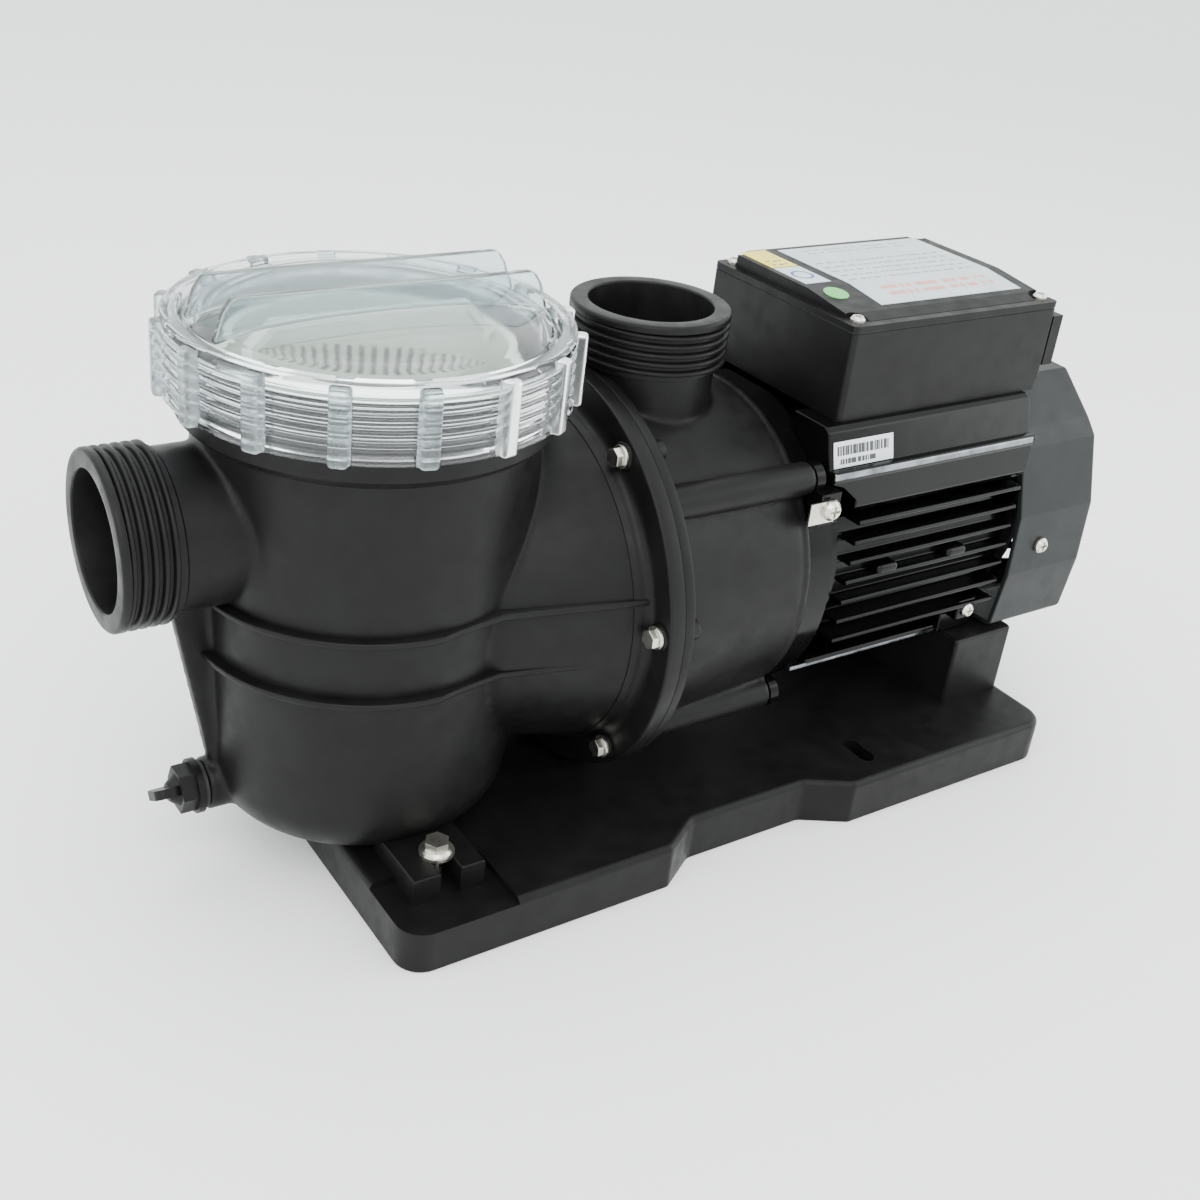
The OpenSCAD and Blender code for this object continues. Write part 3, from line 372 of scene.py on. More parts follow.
class Shader:
    """A node material with one Principled shader and short ways to feed it."""

    def __init__(self, name):
        self.material = bpy.data.materials.new(name)
        self.material.use_nodes = True
        self.tree = self.material.node_tree
        self.surface = self.tree.nodes["Principled BSDF"]
        self.where = self.tree.nodes.new("ShaderNodeTexCoord").outputs["Object"]

    def node(self, kind, **values):
        made = self.tree.nodes.new(kind)
        for key, value in values.items():
            setattr(made, key, value)
        return made

    def link(self, output, target):
        self.tree.links.new(output, target)

    def set(self, **values):
        for key, value in values.items():
            self.surface.inputs[key.replace("_", " ")].default_value = value
        return self

    def noise(self, size, detail=3, rough=0.5, stretch=None):
        """Noise whose blobs are about size millimetres wide."""
        made = self.node("ShaderNodeTexNoise")
        made.inputs["Scale"].default_value = 1 / (size * MM)
        made.inputs["Detail"].default_value = detail
        made.inputs["Roughness"].default_value = rough
        where = self.where
        if stretch:
            mapping = self.node("ShaderNodeMapping")
            mapping.inputs["Scale"].default_value = stretch
            self.link(self.where, mapping.inputs["Vector"])
            where = mapping.outputs["Vector"]
        self.link(where, made.inputs["Vector"])
        return made.outputs["Fac"]

    def span(self, socket, low_in, high_in, low_out, high_out):
        made = self.node("ShaderNodeMapRange")
        self.link(socket, made.inputs["Value"])
        made.inputs["From Min"].default_value = low_in
        made.inputs["From Max"].default_value = high_in
        made.inputs["To Min"].default_value = low_out
        made.inputs["To Max"].default_value = high_out
        return made.outputs["Result"]

    def mix(self, factor, first, second):
        made = self.node("ShaderNodeMix", data_type="RGBA")
        self.link(factor, made.inputs["Factor"])
        for key, value in (("A", first), ("B", second)):
            socket = next(s for s in made.inputs if s.name == key and s.type == "RGBA")
            if isinstance(value, tuple):
                socket.default_value = value
            else:
                self.link(value, socket)
        return next(s for s in made.outputs if s.type == "RGBA")

    def bump(self, height, strength, depth):
        made = self.node("ShaderNodeBump")
        made.inputs["Strength"].default_value = strength
        made.inputs["Distance"].default_value = depth * MM
        self.link(height, made.inputs["Height"])
        self.link(made.outputs["Normal"], self.surface.inputs["Normal"])

    def finish(self, tone, size, rough, grain, strength, depth):
        """Colour, uneven roughness over blobs of a size, and bump from a grain."""
        self.link(tone, self.surface.inputs["Base Color"])
        self.link(self.span(self.noise(size, 3), 0.3, 0.7, *rough), self.surface.inputs["Roughness"])
        self.bump(grain, strength, depth)
        return self.material


def rules(s, row_axis, rows, gap, bold, first, ends, dash):
    """Mask of plain short bars in rows. ends are the plan x of the two ends of a row."""
    parts = s.node("ShaderNodeSeparateXYZ")
    s.link(s.where, parts.inputs["Vector"])
    across = parts.outputs[row_axis]
    along = parts.outputs["X"]

    def sum_of(kind, a, b):
        made = s.node("ShaderNodeMath", operation=kind)
        for k, value in enumerate((a, b)):
            if isinstance(value, (int, float)):
                made.inputs[k].default_value = value
            else:
                s.link(value, made.inputs[k])
        return made.outputs["Value"]

    line = sum_of("DIVIDE", sum_of("SUBTRACT", across, first * MM), gap * MM)
    inside = sum_of("MULTIPLY", sum_of("GREATER_THAN", line, 0), sum_of("LESS_THAN", line, rows))
    inked = sum_of("LESS_THAN", sum_of("FRACT", line, 0), bold)
    broken = sum_of("GREATER_THAN", s.noise(dash, 1, stretch=(1, 0, 0)), 0.46)
    left = sum_of("GREATER_THAN", along, STRAINER_X + ends[0] * MM)
    right = sum_of("LESS_THAN", along, STRAINER_X + ends[1] * MM)
    span = sum_of("MULTIPLY", left, right)
    return sum_of("MULTIPLY", sum_of("MULTIPLY", inside, inked), sum_of("MULTIPLY", broken, span))


def printed(name, paper, marks):
    """Glossy label: paper colour with rows of marks. marks holds (colour, rules arguments) pairs."""
    s = Shader(name)
    lighter = tuple(min(1, c * 1.12) for c in paper[:3]) + (1,)
    tone = s.mix(s.span(s.noise(14, 4), 0.3, 0.7, 0, 1), paper, lighter)
    for ink, ruling in marks:
        tone = s.mix(rules(s, *ruling), tone, ink)
    return s.finish(tone, 7, (0.25, 0.4), s.noise(2.5, 2), 0.1, 0.02)


def ringed(name, paper, ink, centre, radii):
    """Small round sticker design: one plain ring round a point in plan."""
    s = Shader(name)
    away = s.node("ShaderNodeVectorMath", operation="DISTANCE")
    flat = s.node("ShaderNodeVectorMath", operation="MULTIPLY")
    s.link(s.where, flat.inputs[0])
    flat.inputs[1].default_value = (1, 1, 0)
    s.link(flat.outputs["Vector"], away.inputs[0])
    away.inputs[1].default_value = (STRAINER_X + centre[0] * MM, centre[1] * MM, 0)
    outer = s.span(away.outputs["Value"], radii[1] * MM, radii[1] * MM + 0.0003, 1, 0)
    inner = s.span(away.outputs["Value"], radii[0] * MM, radii[0] * MM + 0.0003, 0, 1)
    both = s.node("ShaderNodeMath", operation="MULTIPLY")
    s.link(outer, both.inputs[0])
    s.link(inner, both.inputs[1])
    tone = s.mix(both.outputs["Value"], paper, ink)
    return s.finish(tone, 7, (0.3, 0.45), s.noise(2.5, 2), 0.1, 0.02)


def mottled(name, dark, light, rough, grain=0.7, depth=0.05, strength=0.35, **values):
    """Moulded or painted surface: cloudy colour, uneven roughness and a fine grain."""
    s = Shader(name)
    cloud = s.noise(28, 5, 0.62)
    fleck = s.noise(1.1, 2)
    tone = s.mix(s.span(cloud, 0.3, 0.7, 0, 1), dark, light)
    s.link(s.mix(s.span(fleck, 0.66, 0.74, 0, 0.35), tone, light), s.surface.inputs["Base Color"])
    s.link(s.span(s.noise(9, 4), 0.3, 0.7, rough[0], rough[1]), s.surface.inputs["Roughness"])
    s.bump(s.noise(grain, 3), strength, depth)
    s.set(**values)
    return s.material


def metal(name, dark, light, rough, size=6, stretch=(1, 1, 1), depth=0.008):
    """Plated or machined metal: uneven tone, smudges and fine scratches."""
    s = Shader(name)
    s.set(Metallic=1.0)
    tone = s.mix(s.span(s.noise(size, 4), 0.3, 0.7, 0, 1), dark, light)
    return s.finish(tone, size / 2, rough, s.noise(2.2, 2, stretch=stretch), 0.06, depth)


def clear_plastic(name, tint, rough):
    """Clear moulding that lets lamps through, with faint flow marks."""
    s = Shader(name)
    s.set(Base_Color=tint, IOR=1.49, Transmission_Weight=1.0)
    s.link(s.span(s.noise(12, 4), 0.35, 0.7, rough[0], rough[1]), s.surface.inputs["Roughness"])
    s.bump(s.noise(7, 2), 0.12, 0.15)
    window = s.node("ShaderNodeBsdfTransparent")
    window.inputs["Color"].default_value = (0.93, 0.95, 0.95, 1)
    path = s.node("ShaderNodeLightPath")
    blend = s.node("ShaderNodeMixShader")
    s.link(path.outputs["Is Shadow Ray"], blend.inputs["Fac"])
    s.link(s.surface.outputs["BSDF"], blend.inputs[1])
    s.link(window.outputs["BSDF"], blend.inputs[2])
    s.link(blend.outputs["Shader"], s.tree.nodes["Material Output"].inputs["Surface"])
    return s.material


MATERIALS = {
    "black_plastic": mottled("moulded_black", srgb(11, 10, 10), srgb(18, 18, 18), (0.34, 0.5), 0.8, 0.05, 0.35,
                             Specular_IOR_Level=0.15),
    "cowl_plastic": mottled("moulded_grey", srgb(20, 23, 23), srgb(27, 30, 30), (0.34, 0.46), 0.6, 0.03, 0.25,
                            Specular_IOR_Level=0.2),
    "motor_paint": mottled("gloss_black_paint", srgb(4, 4, 4), srgb(8, 8, 8), (0.12, 0.24), 3.0, 0.04, 0.12,
                           Specular_IOR_Level=0.16),
    # painted highlight: lighter grey metal for the casing's beads and sills, where the gloss paint catches the
    # light
    "painted_highlight_edge": metal("painted_highlight_paint", srgb(96, 100, 104), srgb(150, 154, 158), (0.22, 0.4), 9),
    "white_plastic": mottled("basket_white", srgb(196, 204, 190), srgb(212, 218, 206), (0.35, 0.5), 0.9, 0.04,
                             0.2),
    "seal_rubber": mottled("seal_rubber", srgb(20, 20, 20), srgb(30, 30, 31), (0.6, 0.8), 0.5, 0.04, 0.3),
    "zinc_steel": metal("zinc_plate", srgb(196, 194, 184), srgb(216, 214, 205), (0.26, 0.34), 12),
    "shaft_steel": metal("ground_steel", srgb(160, 161, 163), srgb(196, 197, 199), (0.18, 0.3), 6, (1, 8, 8)),
    "lamination_steel": metal("laminations", srgb(92, 92, 94), srgb(128, 128, 130), (0.4, 0.55), 4, (40, 1, 1)),
    "rotor_aluminium": metal("cast_aluminium", srgb(160, 161, 164), srgb(186, 187, 190), (0.4, 0.6), 5),
    "copper_winding": metal("copper_wire", srgb(166, 84, 44), srgb(200, 120, 72), (0.25, 0.4), 3, (1, 12, 12),
                            0.2),
    "insert_brass": metal("brass", srgb(182, 146, 76), srgb(212, 180, 104), (0.2, 0.32)),
    "seal_ceramic": mottled("ceramic", srgb(226, 222, 210), srgb(236, 233, 224), (0.12, 0.2), 2, 0.02, 0.1),
    "impeller_plastic": mottled("glass_filled", srgb(30, 30, 32), srgb(42, 42, 45), (0.3, 0.42), 1.2, 0.04,
                                0.25),
    "block_plastic": mottled("block_cream", srgb(214, 208, 190), srgb(226, 221, 205), (0.35, 0.5)),
    "capacitor_can": mottled("capacitor_grey", srgb(206, 208, 210), srgb(218, 220, 222), (0.25, 0.35)),
    "clear_plastic": clear_plastic("clear_moulding", (0.90, 0.95, 0.96, 1), (0.03, 0.1)),
    "frosted_plastic": clear_plastic("clear_frosted", (0.80, 0.87, 0.89, 1), (0.22, 0.4)),
    "tinted_plastic": clear_plastic("clear_wing", (0.74, 0.83, 0.85, 1), (0.05, 0.14)),
}


# -------------------- camera, floor and lamps

CAMERA_AT = (-265.39, -528.33, 453.27)
CAMERA_TURN = -35.563
CAMERA_RISE = 27.684
CAMERA_ROLL = 6.279
CAMERA_LENS = 44.85
CAMERA_SHIFT = 0.0252
LAMPS = [
    # name, place from the strainer's axis in metres, size, power, colour
    ("key", (-0.5, -1.3, 1.5), 1.4, 26, (1.0, 0.99, 0.97)),
    ("side", (-1.6, 0.1, 0.8), 1.2, 12, (0.95, 0.98, 1.0)),
    ("right", (1.7, -0.8, 0.7), 1.2, 14, (0.97, 0.99, 1.0)),
    ("top", (0.2, 0.4, 1.8), 1.6, 18, (1.0, 1.0, 1.0)),
]


def make_camera():
    a = math.radians(CAMERA_TURN)
    e = math.radians(CAMERA_RISE)
    c = math.radians(CAMERA_ROLL)
    back = Vector((math.sin(a) * math.cos(e), -math.cos(a) * math.cos(e), math.sin(e)))
    right = Vector((math.cos(a), math.sin(a), 0))
    up = back.cross(right)
    across = right * math.cos(c) + up * math.sin(c)
    upward = up * math.cos(c) - right * math.sin(c)
    data = bpy.data.cameras.new("camera")
    camera = new_object("camera", data)
    data.sensor_width = 36
    data.lens = CAMERA_LENS
    data.shift_x = CAMERA_SHIFT
    data.shift_y = -CAMERA_SHIFT
    data.clip_start = 0.01
    data.dof.use_dof = False
    turn = Matrix((across, upward, back)).transposed().to_4x4()
    camera.matrix_world = Matrix.Translation(to_frame(CAMERA_AT)) @ turn
    bpy.context.scene.camera = camera


def make_stage():
    half = 30  # metres
    mesh = bpy.data.meshes.new("floor")
    corners = [(-half, -half, 0), (half, -half, 0), (half, half, 0), (-half, half, 0)]
    mesh.from_pydata(corners, [], [(0, 1, 2, 3)])
    floor = new_object("floor", mesh)
    s = Shader("pale_floor")
    s.set(Base_Color=(0.9, 0.9, 0.9, 1), Roughness=0.7)
    floor.data.materials.append(s.material)
    world = bpy.data.worlds.new("studio")
    world.use_nodes = True
    world.node_tree.nodes["Background"].inputs["Color"].default_value = (0.97, 1.0, 1.0, 1)
    world.node_tree.nodes["Background"].inputs["Strength"].default_value = 2.2
    bpy.context.scene.world = world
    for name, spot, size, power, colour in LAMPS:
        data = bpy.data.lights.new(name, "AREA")
        data.size = size
        data.energy = power
        data.color = colour
        lamp = new_object(name, data)
        at = Vector((spot[0] + STRAINER_X, spot[1], spot[2]))
        aim = Vector((0, 0, 0.12)) - at
        lamp.matrix_world = Matrix.Translation(at) @ aim.to_track_quat("-Z", "Y").to_matrix().to_4x4()


make_camera()
make_stage()


# -------------------- union ends

def union_thread(name, face, axis):
    """Coarse round-topped male thread that grows out of the lip and fades away at its end."""
    u, v, w = basis(axis)
    first = 2.7
    turns = (THREAD_LENGTH - 2.2) / THREAD_PITCH
    steps = int(84 * turns)
    fade = 0.09
    section = [(-0.7, -1.75), (0, -1.5), (0.75, -0.95), (1, -0.55)]
    section += [(depth, -height) for depth, height in section[::-1]]
    loops = []
    for i in range(steps + 1):
        t = turns * i / steps
        tall = (THREAD_R - THREAD_ROOT) * min(1, 0.05 + (turns - t) / fade)
        a = TAU * t
        across = u * math.cos(a) + v * math.sin(a)
        middle = Vector(face) - w * (first + THREAD_PITCH * t)
        loops.append([middle + across * (THREAD_ROOT + tall * s if s > 0 else THREAD_ROOT + s) + w * h
                      for s, h in section])
    return smooth_shaded(bridge(name, loops), 60)


def union_neck(name, face, axis, length, neck_r):
    """Bore and root of a union end, with a rounded mouth."""
    wall = [(BORE_R - 0.1, -length), (BORE_R - 0.1, -1)] + arc((BORE_R + 0.9, -1), 1, 180, 90, 4)
    mouth = arc((THREAD_R - 1.7, -1.7), 1.7, 90, 0, 6) + arc((THREAD_R - 0.4, -3.3), 0.4, 0, -60, 3)
    mouth += [(THREAD_ROOT, -4.4)]
    foot = [(THREAD_ROOT, -THREAD_LENGTH - 2.6), (neck_r, -THREAD_LENGTH - 3.6), (neck_r, -length)]
    return smooth_shaded(lathe(name, wall + mouth + foot, face, axis), 50)


def make_union_ends():
    """Threaded ends of the suction and discharge ports."""
    ends = [
        ("suction", (SUCTION_X, 0, SUCTION_Z), (-1, 0, 0), SUCTION_NECK_R),
        ("discharge", (DISCHARGE_X, 0, DISCHARGE_Z), (0, 0, 1), DISCHARGE_NECK_R),
    ]
    for name, face, axis, neck_r in ends:
        dress(union_neck(name + "_neck", face, axis, 34, neck_r), "pump", "black_plastic")
        dress(union_thread(name + "_thread", face, axis), "pump", "black_plastic")


# -------------------- strainer housing

def make_strainer_body():
    """Pot, funnel, suction neck, web and drain boss in one casting."""
    corner = 25
    floor = BASE_TOP
    top = RIM_Z - 33
    wall = [(0, floor)] + arc((POT_R_LOW - corner, floor + corner), corner, -90, 0, 12)
    wall += [(POT_R, RIM_Z - 37), (POT_R, top), (0, top)]
    pot = lathe("strainer_body", wall, (0, 0, 0))
    cone_end = JOINT_X - 6
    slope = [(0, 20), (62, 20), (70, 34), (83, 88), (84.5, 95), (84.5, cone_end), (0, cone_end)]
    funnel = lathe("funnel", slope, SHAFT_AT, ALONG_X)
    neck = cylinder("neck", SUCTION_NECK_R, 50, 100, (0, 0, SUCTION_Z), (-1, 0, 0))
    web_outline = rounded([(-50, 40), (-50, 142), (-89, 138), (-73, 54)][::-1], 1)
    web = block("web", web_outline, -4, 4, lambda a, b, h: Vector((a, h, b)), 0.5)
    drain_at = (0, 0, low("drain_seal").z + DRAIN_SEAL_R)
    boss = cylinder("boss", 12, 46, 76, drain_at, (-1, 0, 0))
    add(pot, funnel, neck, web, boss)
    mould(pot, 1.3, 6)
    ledge = [(66.5, RIM_Z - 36), (60.8, RIM_Z - 23), (60.8, RIM_Z), (0, RIM_Z)]
    hollow = lathe("hollow", [(0, 28.5)] + arc((45.5, 48.5), 20, -90, 0, 10) + ledge, (0, 0, 0))
    wet = [(0, 20), (58, 20), (77, 84), (29.3, 84), (29.3, 89)]
    wet += [(CHAMBER_R, 89), (CHAMBER_R, JOINT_X), (0, JOINT_X)]
    cone = lathe("cone", wet, SHAFT_AT, ALONG_X)
    bore = cylinder("bore", BORE_R, 30, 110, (0, 0, SUCTION_Z), (-1, 0, 0))
    drain = cylinder("drain", 6, 30, 90, drain_at, (-1, 0, 0))
    cut(pot, hollow, cone, bore, drain)
    smooth_shaded(pot, 50)
    dress(pot, "pump", "black_plastic", "strainer_housing")


def make_collar():
    """Neck of the pot under the locking ring, with the ring's coarse thread."""
    top = RIM_Z
    profile = [(70.5, top - 14.2), (60.8, top - 14.2), (60.8, top - 22), (66, top - 36)]
    profile += [(POT_R - 0.2, top - 38), (POT_R + 0.1, top - 36)]
    profile += [(79.2, top - 32), (80, top - 31), (80, top - 23), (78, top - 22), (78, top - 0.8), (77.4, top)]
    profile += [(77, top - 4), (71.9, top - 4)]
    profile += [(71.9, top - 0.4), (71.5, top), (70.9, top), (70.5, top - 0.4)]
    collar = smooth_shaded(lathe("strainer_collar", profile, (0, 0, 0)), 35)
    dress(collar, "pump", "black_plastic")
    steps = 144
    turns = 3.2
    loops = []
    for i in range(int(steps * turns) + 1):
        t = i / steps
        tall = 2 * min(1, 0.05 + min(t, turns - t) / 0.06)
        a = TAU * t
        across = Vector((math.cos(a), math.sin(a), 0))
        z = top - 3.4 - 5 * t
        section = [(77.5, -1.4), (78, -1.2), (78 + tall, -0.5), (78 + tall, 0.5), (78, 1.2), (77.5, 1.4)]
        loops.append([across * r + Vector((0, 0, z + h)) for r, h in section])
    dress(smooth_shaded(bridge("collar_thread", loops), 60), "pump", "black_plastic")


def rib_path(step=6):
    """Outer edge of a stiffening rib in plan, from the near flange round the pot to the far flange."""
    r = POT_R_LOW + 6.5
    front = JOINT_X - FLANGE_THICK + 0.8
    near = [Vector((front + (32 - front) * k / 8, -84.5 + 14 * k / 8, 0)) for k in range(9)]
    first = Vector((32, -70.5, 0))
    middle = Vector((10, -73.5, 0))
    last = Vector((0, -r, 0))
    curve = []
    for k in range(7):
        t = k / 6
        curve.append(first * (1 - t) ** 2 + middle * 2 * t * (1 - t) + last * t * t)
    around = [Vector((r * math.cos(math.radians(a)), r * math.sin(math.radians(a)), 0))
              for a in range(-90 - step, -271, -step)]
    path = near + curve[1:] + around
    mirrored = [Vector((p.x, -p.y, 0)) for p in (near + curve[1:])[::-1]]
    return path[:-1] + mirrored


def make_ribs():
    """Two horizontal ribs round the pot that run out to the flange."""
    path = rib_path()
    deep = 8
    half = 1.5
    edge = 0.7
    section = [(deep, -half), (edge, -half), (0.2, -half + 0.3), (0, -half + edge), (0, half - edge),
               (0.2, half - 0.3), (edge, half), (deep, half)]
    for number, height in enumerate((SHAFT_Z - 8, SHAFT_Z + 21)):
        loops = []
        for i, p in enumerate(path):
            ahead = path[min(i + 1, len(path) - 1)] - path[max(i - 1, 0)]
            inwards = Vector((ahead.y, -ahead.x, 0)).normalized()
            if inwards.dot(Vector((40, 0, 0)) - p) < 0:
                inwards.negate()
            loops.append([p + inwards * d + Vector((0, 0, height + h)) for d, h in section])
        rib = smooth_shaded(bridge(f"strainer_rib_{number + 1}", loops), 50)
        dress(rib, "pump", "black_plastic")


def make_flange_pair():
    """The two bolted flanges, with a fine gap at their joint."""
    front = JOINT_X - FLANGE_THICK
    cove = arc((90, front - 5), 5, 180, 90, 6)
    shape = [(CHAMBER_R + 0.2, front - 8), (84, front - 8), (84.8, front - 5.5)] + cove
    shape += arc((FLANGE_R - 1.2, front + 1.2), 1.2, -90, 0, 4)
    shape += arc((FLANGE_R - 0.3, JOINT_X - 0.35), 0.3, 0, 90, 3)
    shape += [(CHAMBER_R + 0.2, JOINT_X - 0.05)]
    dress(smooth_shaded(lathe("strainer_flange", shape, SHAFT_AT, ALONG_X, 220), 50), "pump", "black_plastic")
    back = JOINT_X + 5.6
    cove = arc((91.4, back + 3.4), 3.4, 270, 180, 6)
    shape = [(CHAMBER_R + 0.2, JOINT_X + 0.05)] + arc((FLANGE_R - 0.3, JOINT_X + 0.35), 0.3, -90, 0, 3)
    shape += arc((FLANGE_R - 1.2, back - 1.2), 1.2, 0, 90, 4)
    shape += cove + [(87.4, back + 8), (CHAMBER_R + 0.2, back + 8)]
    dress(smooth_shaded(lathe("pump_flange", shape, SHAFT_AT, ALONG_X, 220), 50), "pump", "black_plastic")


def bolt_places():
    """Shaft-line directions of the flange bolts as (y, z) on a unit circle."""
    count = 7
    return [(-math.cos(math.radians(5 + 360 * i / count)), math.sin(math.radians(5 + 360 * i / count)))
            for i in range(count)]


def make_bolt_pads():
    """Washer seats in front of the flange pair, and the blind ends of the bolt holes behind it."""
    pad = [(3, -9.55), (6, -9.55), (6.4, -9.1), (6.4, -7), (3, -7)]
    end = [(0, 4), (5, 4), (5, 10.4), (4.8, 11.1), (4.2, 11.6), (0, 11.6)]
    pads = []
    for y, z in bolt_places():
        at = (JOINT_X, y * BOLT_CIRCLE_R, SHAFT_Z + z * BOLT_CIRCLE_R)
        pads.append(lathe("pad", pad, at, ALONG_X, 48))
        pads.append(lathe("end", end, at, ALONG_X, 48))
    pads = smooth_shaded(join("flange_bolt_pads", pads), 40)
    dress(pads, "pump", "black_plastic")


def make_feet():
    """Two notched feet of the strainer, each held by one bolt."""
    notch = arc((1, -79), 5, 180, 0, 10)
    outline = [(-17, -93), (-4, -93)] + notch + [(6, -93), (18, -93), (18, -55), (-17, -55)]
    for name, side in (("near", 1), ("far", -1)):
        shape = outline if side == 1 else [(x, -y) for x, y in outline][::-1]
        foot = block(f"strainer_foot_{name}", shape, BASE_TOP - 3, BASE_TOP + 10, upright, 0.9, 0)
        dress(weighted(smooth_shaded(foot, 35)), "pump", "black_plastic")


# -------------------- pump end

def make_pump_body():
    """Bracket between the flange and the motor, with the discharge neck and four rod bosses."""
    end = BRACKET_END
    start = JOINT_X + 2
    outside = [(0, start), (88.2, start), (87.9, start + 7), (82.8, end - 6), (82.1, end - 5.4)]
    outside += [(82.1, end - 4.4), (82.8, end - 3.8), (82.8, end), (0, end)]
    body = lathe("pump_bracket", outside, SHAFT_AT, ALONG_X)
    neck = cylinder("neck", DISCHARGE_NECK_R, 130, DISCHARGE_Z - 24, (DISCHARGE_X, 0, 0))
    rods = []
    for turn in (41, 139, 225, 315):
        y = 88 * math.cos(math.radians(turn))
        z = 88 * math.sin(math.radians(turn))
        rods.append(cylinder("rod", 8, start, end, (0, y, SHAFT_Z + z), ALONG_X, 64))
    add(body, neck, *rods)
    mould(body, 1.15, 3)
    wall_front = 160
    wall_back = 167
    hole_r = 10.5
    inside = [(0, JOINT_X - 1), (CHAMBER_R, JOINT_X - 1), (CHAMBER_R, wall_front), (hole_r, wall_front)]
    inside += [(hole_r, wall_back), (CHAMBER_R, wall_back), (CHAMBER_R, end + 1), (0, end + 1)]
    chamber = lathe("chamber", inside, SHAFT_AT, ALONG_X)
    floor = SHAFT_Z + CHAMBER_R + 4
    bore = cylinder("bore", BORE_R, floor, DISCHARGE_Z, (DISCHARGE_X, 0, 0))
    passage = cylinder("passage", 24, 150, DISCHARGE_Z, (DISCHARGE_X - 4, 0, 0))
    cut(body, chamber, bore, passage)
    smooth_shaded(body, 50)
    dress(body, "pump", "black_plastic", "pump_body")


# -------------------- motor

def on_core(height):
    """Half width of the casing's round core at a height above or below the shaft."""
    return math.sqrt(CASING_CORE_R ** 2 - height ** 2)


def casing_corner(reach):
    """Shoulder of the casing down to its side bead, and the radii of those corners."""
    points = [(62, 80), (65, 78), (70, 60.8), (71.6, 61.6), (reach + 0.4, 61.4), (reach + 1, 59)]
    points += [(reach + 0.4, 56.6), (reach, 55.6)]
    return points, [2, 3, 0.6, 1, 1, 1, 1, 0.5]


def casing_outline():
    """Section of the finned casing, y and height above the shaft, anticlockwise."""
    reach = high("motor_casing").y - CASING_BEAD
    corner, corner_radii = casing_corner(reach)
    half = [(0, 80)] + corner + [(reach, 41), (71, 37), (on_core(37), 37)]
    radii = [0] + corner_radii + [2, 1, 0.5]
    for k in range(FIN_COUNT):
        top = FIN_TOP - FIN_PITCH * k + FIN_THICK / 2
        bottom = top - FIN_THICK
        half += [(on_core(top), top), (reach, top), (reach, bottom), (on_core(bottom), bottom)]
        radii += [1.2, 1.2, 1.2, 1.2]
    half += [(on_core(51.5), -51.5), (62, -51.5), (62, -56), (on_core(56), -56), (20, -on_core(20))]
    half += [(0, -CASING_CORE_R)]
    radii += [0.5, 1.5, 1.5, 0.8, 4, 4]
    points = half + [(-y, z) for y, z in half[-2:0:-1]]
    sizes = radii + radii[-2:0:-1]
    return rounded(points, sizes, 3)[::-1]


def side_view(a, b, h):
    """Outline in x and height above the shaft, drawn out along y."""
    return Vector((a, h, b + SHAFT_Z))


def casing_reach(side):
    """Corner of the casing that runs forward over the front shield, with its bead."""
    reach = high("motor_casing").y - CASING_BEAD
    points, radii = casing_corner(reach)
    outline = rounded([(40, 80)] + points + [(reach, 37), (40, 37)], [0] + radii + [0, 0], 3)
    corner = block("reach", [(side * y, z) for y, z in outline], NOSE_X, CASING_X + 1, along_x, 0, 1)
    step = BRACKET_END + 14.4
    gap = [(0, NOSE_X - 5), (82.3, NOSE_X - 5), (82.3, step), (70.4, step), (70.4, CASING_X - 0.05)]
    gap += [(0, CASING_X - 0.05)]
    clear = lathe("clear", gap, SHAFT_AT, ALONG_X)
    under = [(NOSE_X - 5, 20), (CASING_X + 5, 20), (CASING_X + 5, 38), (CASING_X + 1, 44)]
    under += [(CASING_X - 10, 53), (NOSE_X, 55.5), (NOSE_X - 5, 55.5)]
    return cut(corner, clear, block("under", rounded(under, [0, 0, 0, 3, 4, 0, 0], 4), -90, 90, side_view, 0))


def make_casing():
    """Finned motor casing with its bumps, seats and screw pockets."""
    outline = casing_outline()
    casing = block("finned_casing", outline, CASING_X, CASING_END, along_x, 0.9)
    extras = [casing_reach(1), casing_reach(-1)]
    for side in (1, -1):
        for start in (248, 297):
            bump = rounded([(side * 60, -2.5), (side * 74, -2.5), (side * 74, 3.5), (side * 60, 3.5)], 2.4)
            extras.append(block("bump", bump, start, start + 14, along_x, 2.4))
        seat = rounded([(side * 46, -56), (side * 64, -56), (side * 64, -44), (side * 46, -44)], 1)
        extras.append(block("seat", seat, 315, 339, along_x, 1))
        screw_seat = rounded([(side * 50, -45), (side * 72, -45), (side * 72, -33), (side * 50, -33)], 1.5)
        extras.append(block("screw_seat", screw_seat, 318, 331, along_x, 1.2))
    add(casing, *extras)
    bore = cylinder("bore", 62, CASING_X - 1, CASING_END + 1, SHAFT_AT, ALONG_X)
    cut(casing, bore)
    for side in (1, -1):
        fronts = [(CASING_X - 1, -47), (CASING_X + 3, -47), (CASING_X + 6, 36), (CASING_X - 1, 36)]
        trim = block("trim", fronts, *sorted((side * 40, side * 90)), side_view, 0)
        core = cylinder("core", CASING_CORE_R + 0.2, CASING_X - 9, CASING_X + 19, SHAFT_AT, ALONG_X)
        cut(casing, cut(trim, core))
        hole = lathe("hole", [(0, 40), (2.05, 40), (2.05, 72), (5, 72), (5, 82), (0, 82)],
                     (324.5, 0, SHAFT_Z - 39), (0, side, 0), 40)
        cut(casing, hole)
    weighted(smooth_shaded(casing, 40))
    dress(casing, "pump", "motor_paint", "motor_casing")


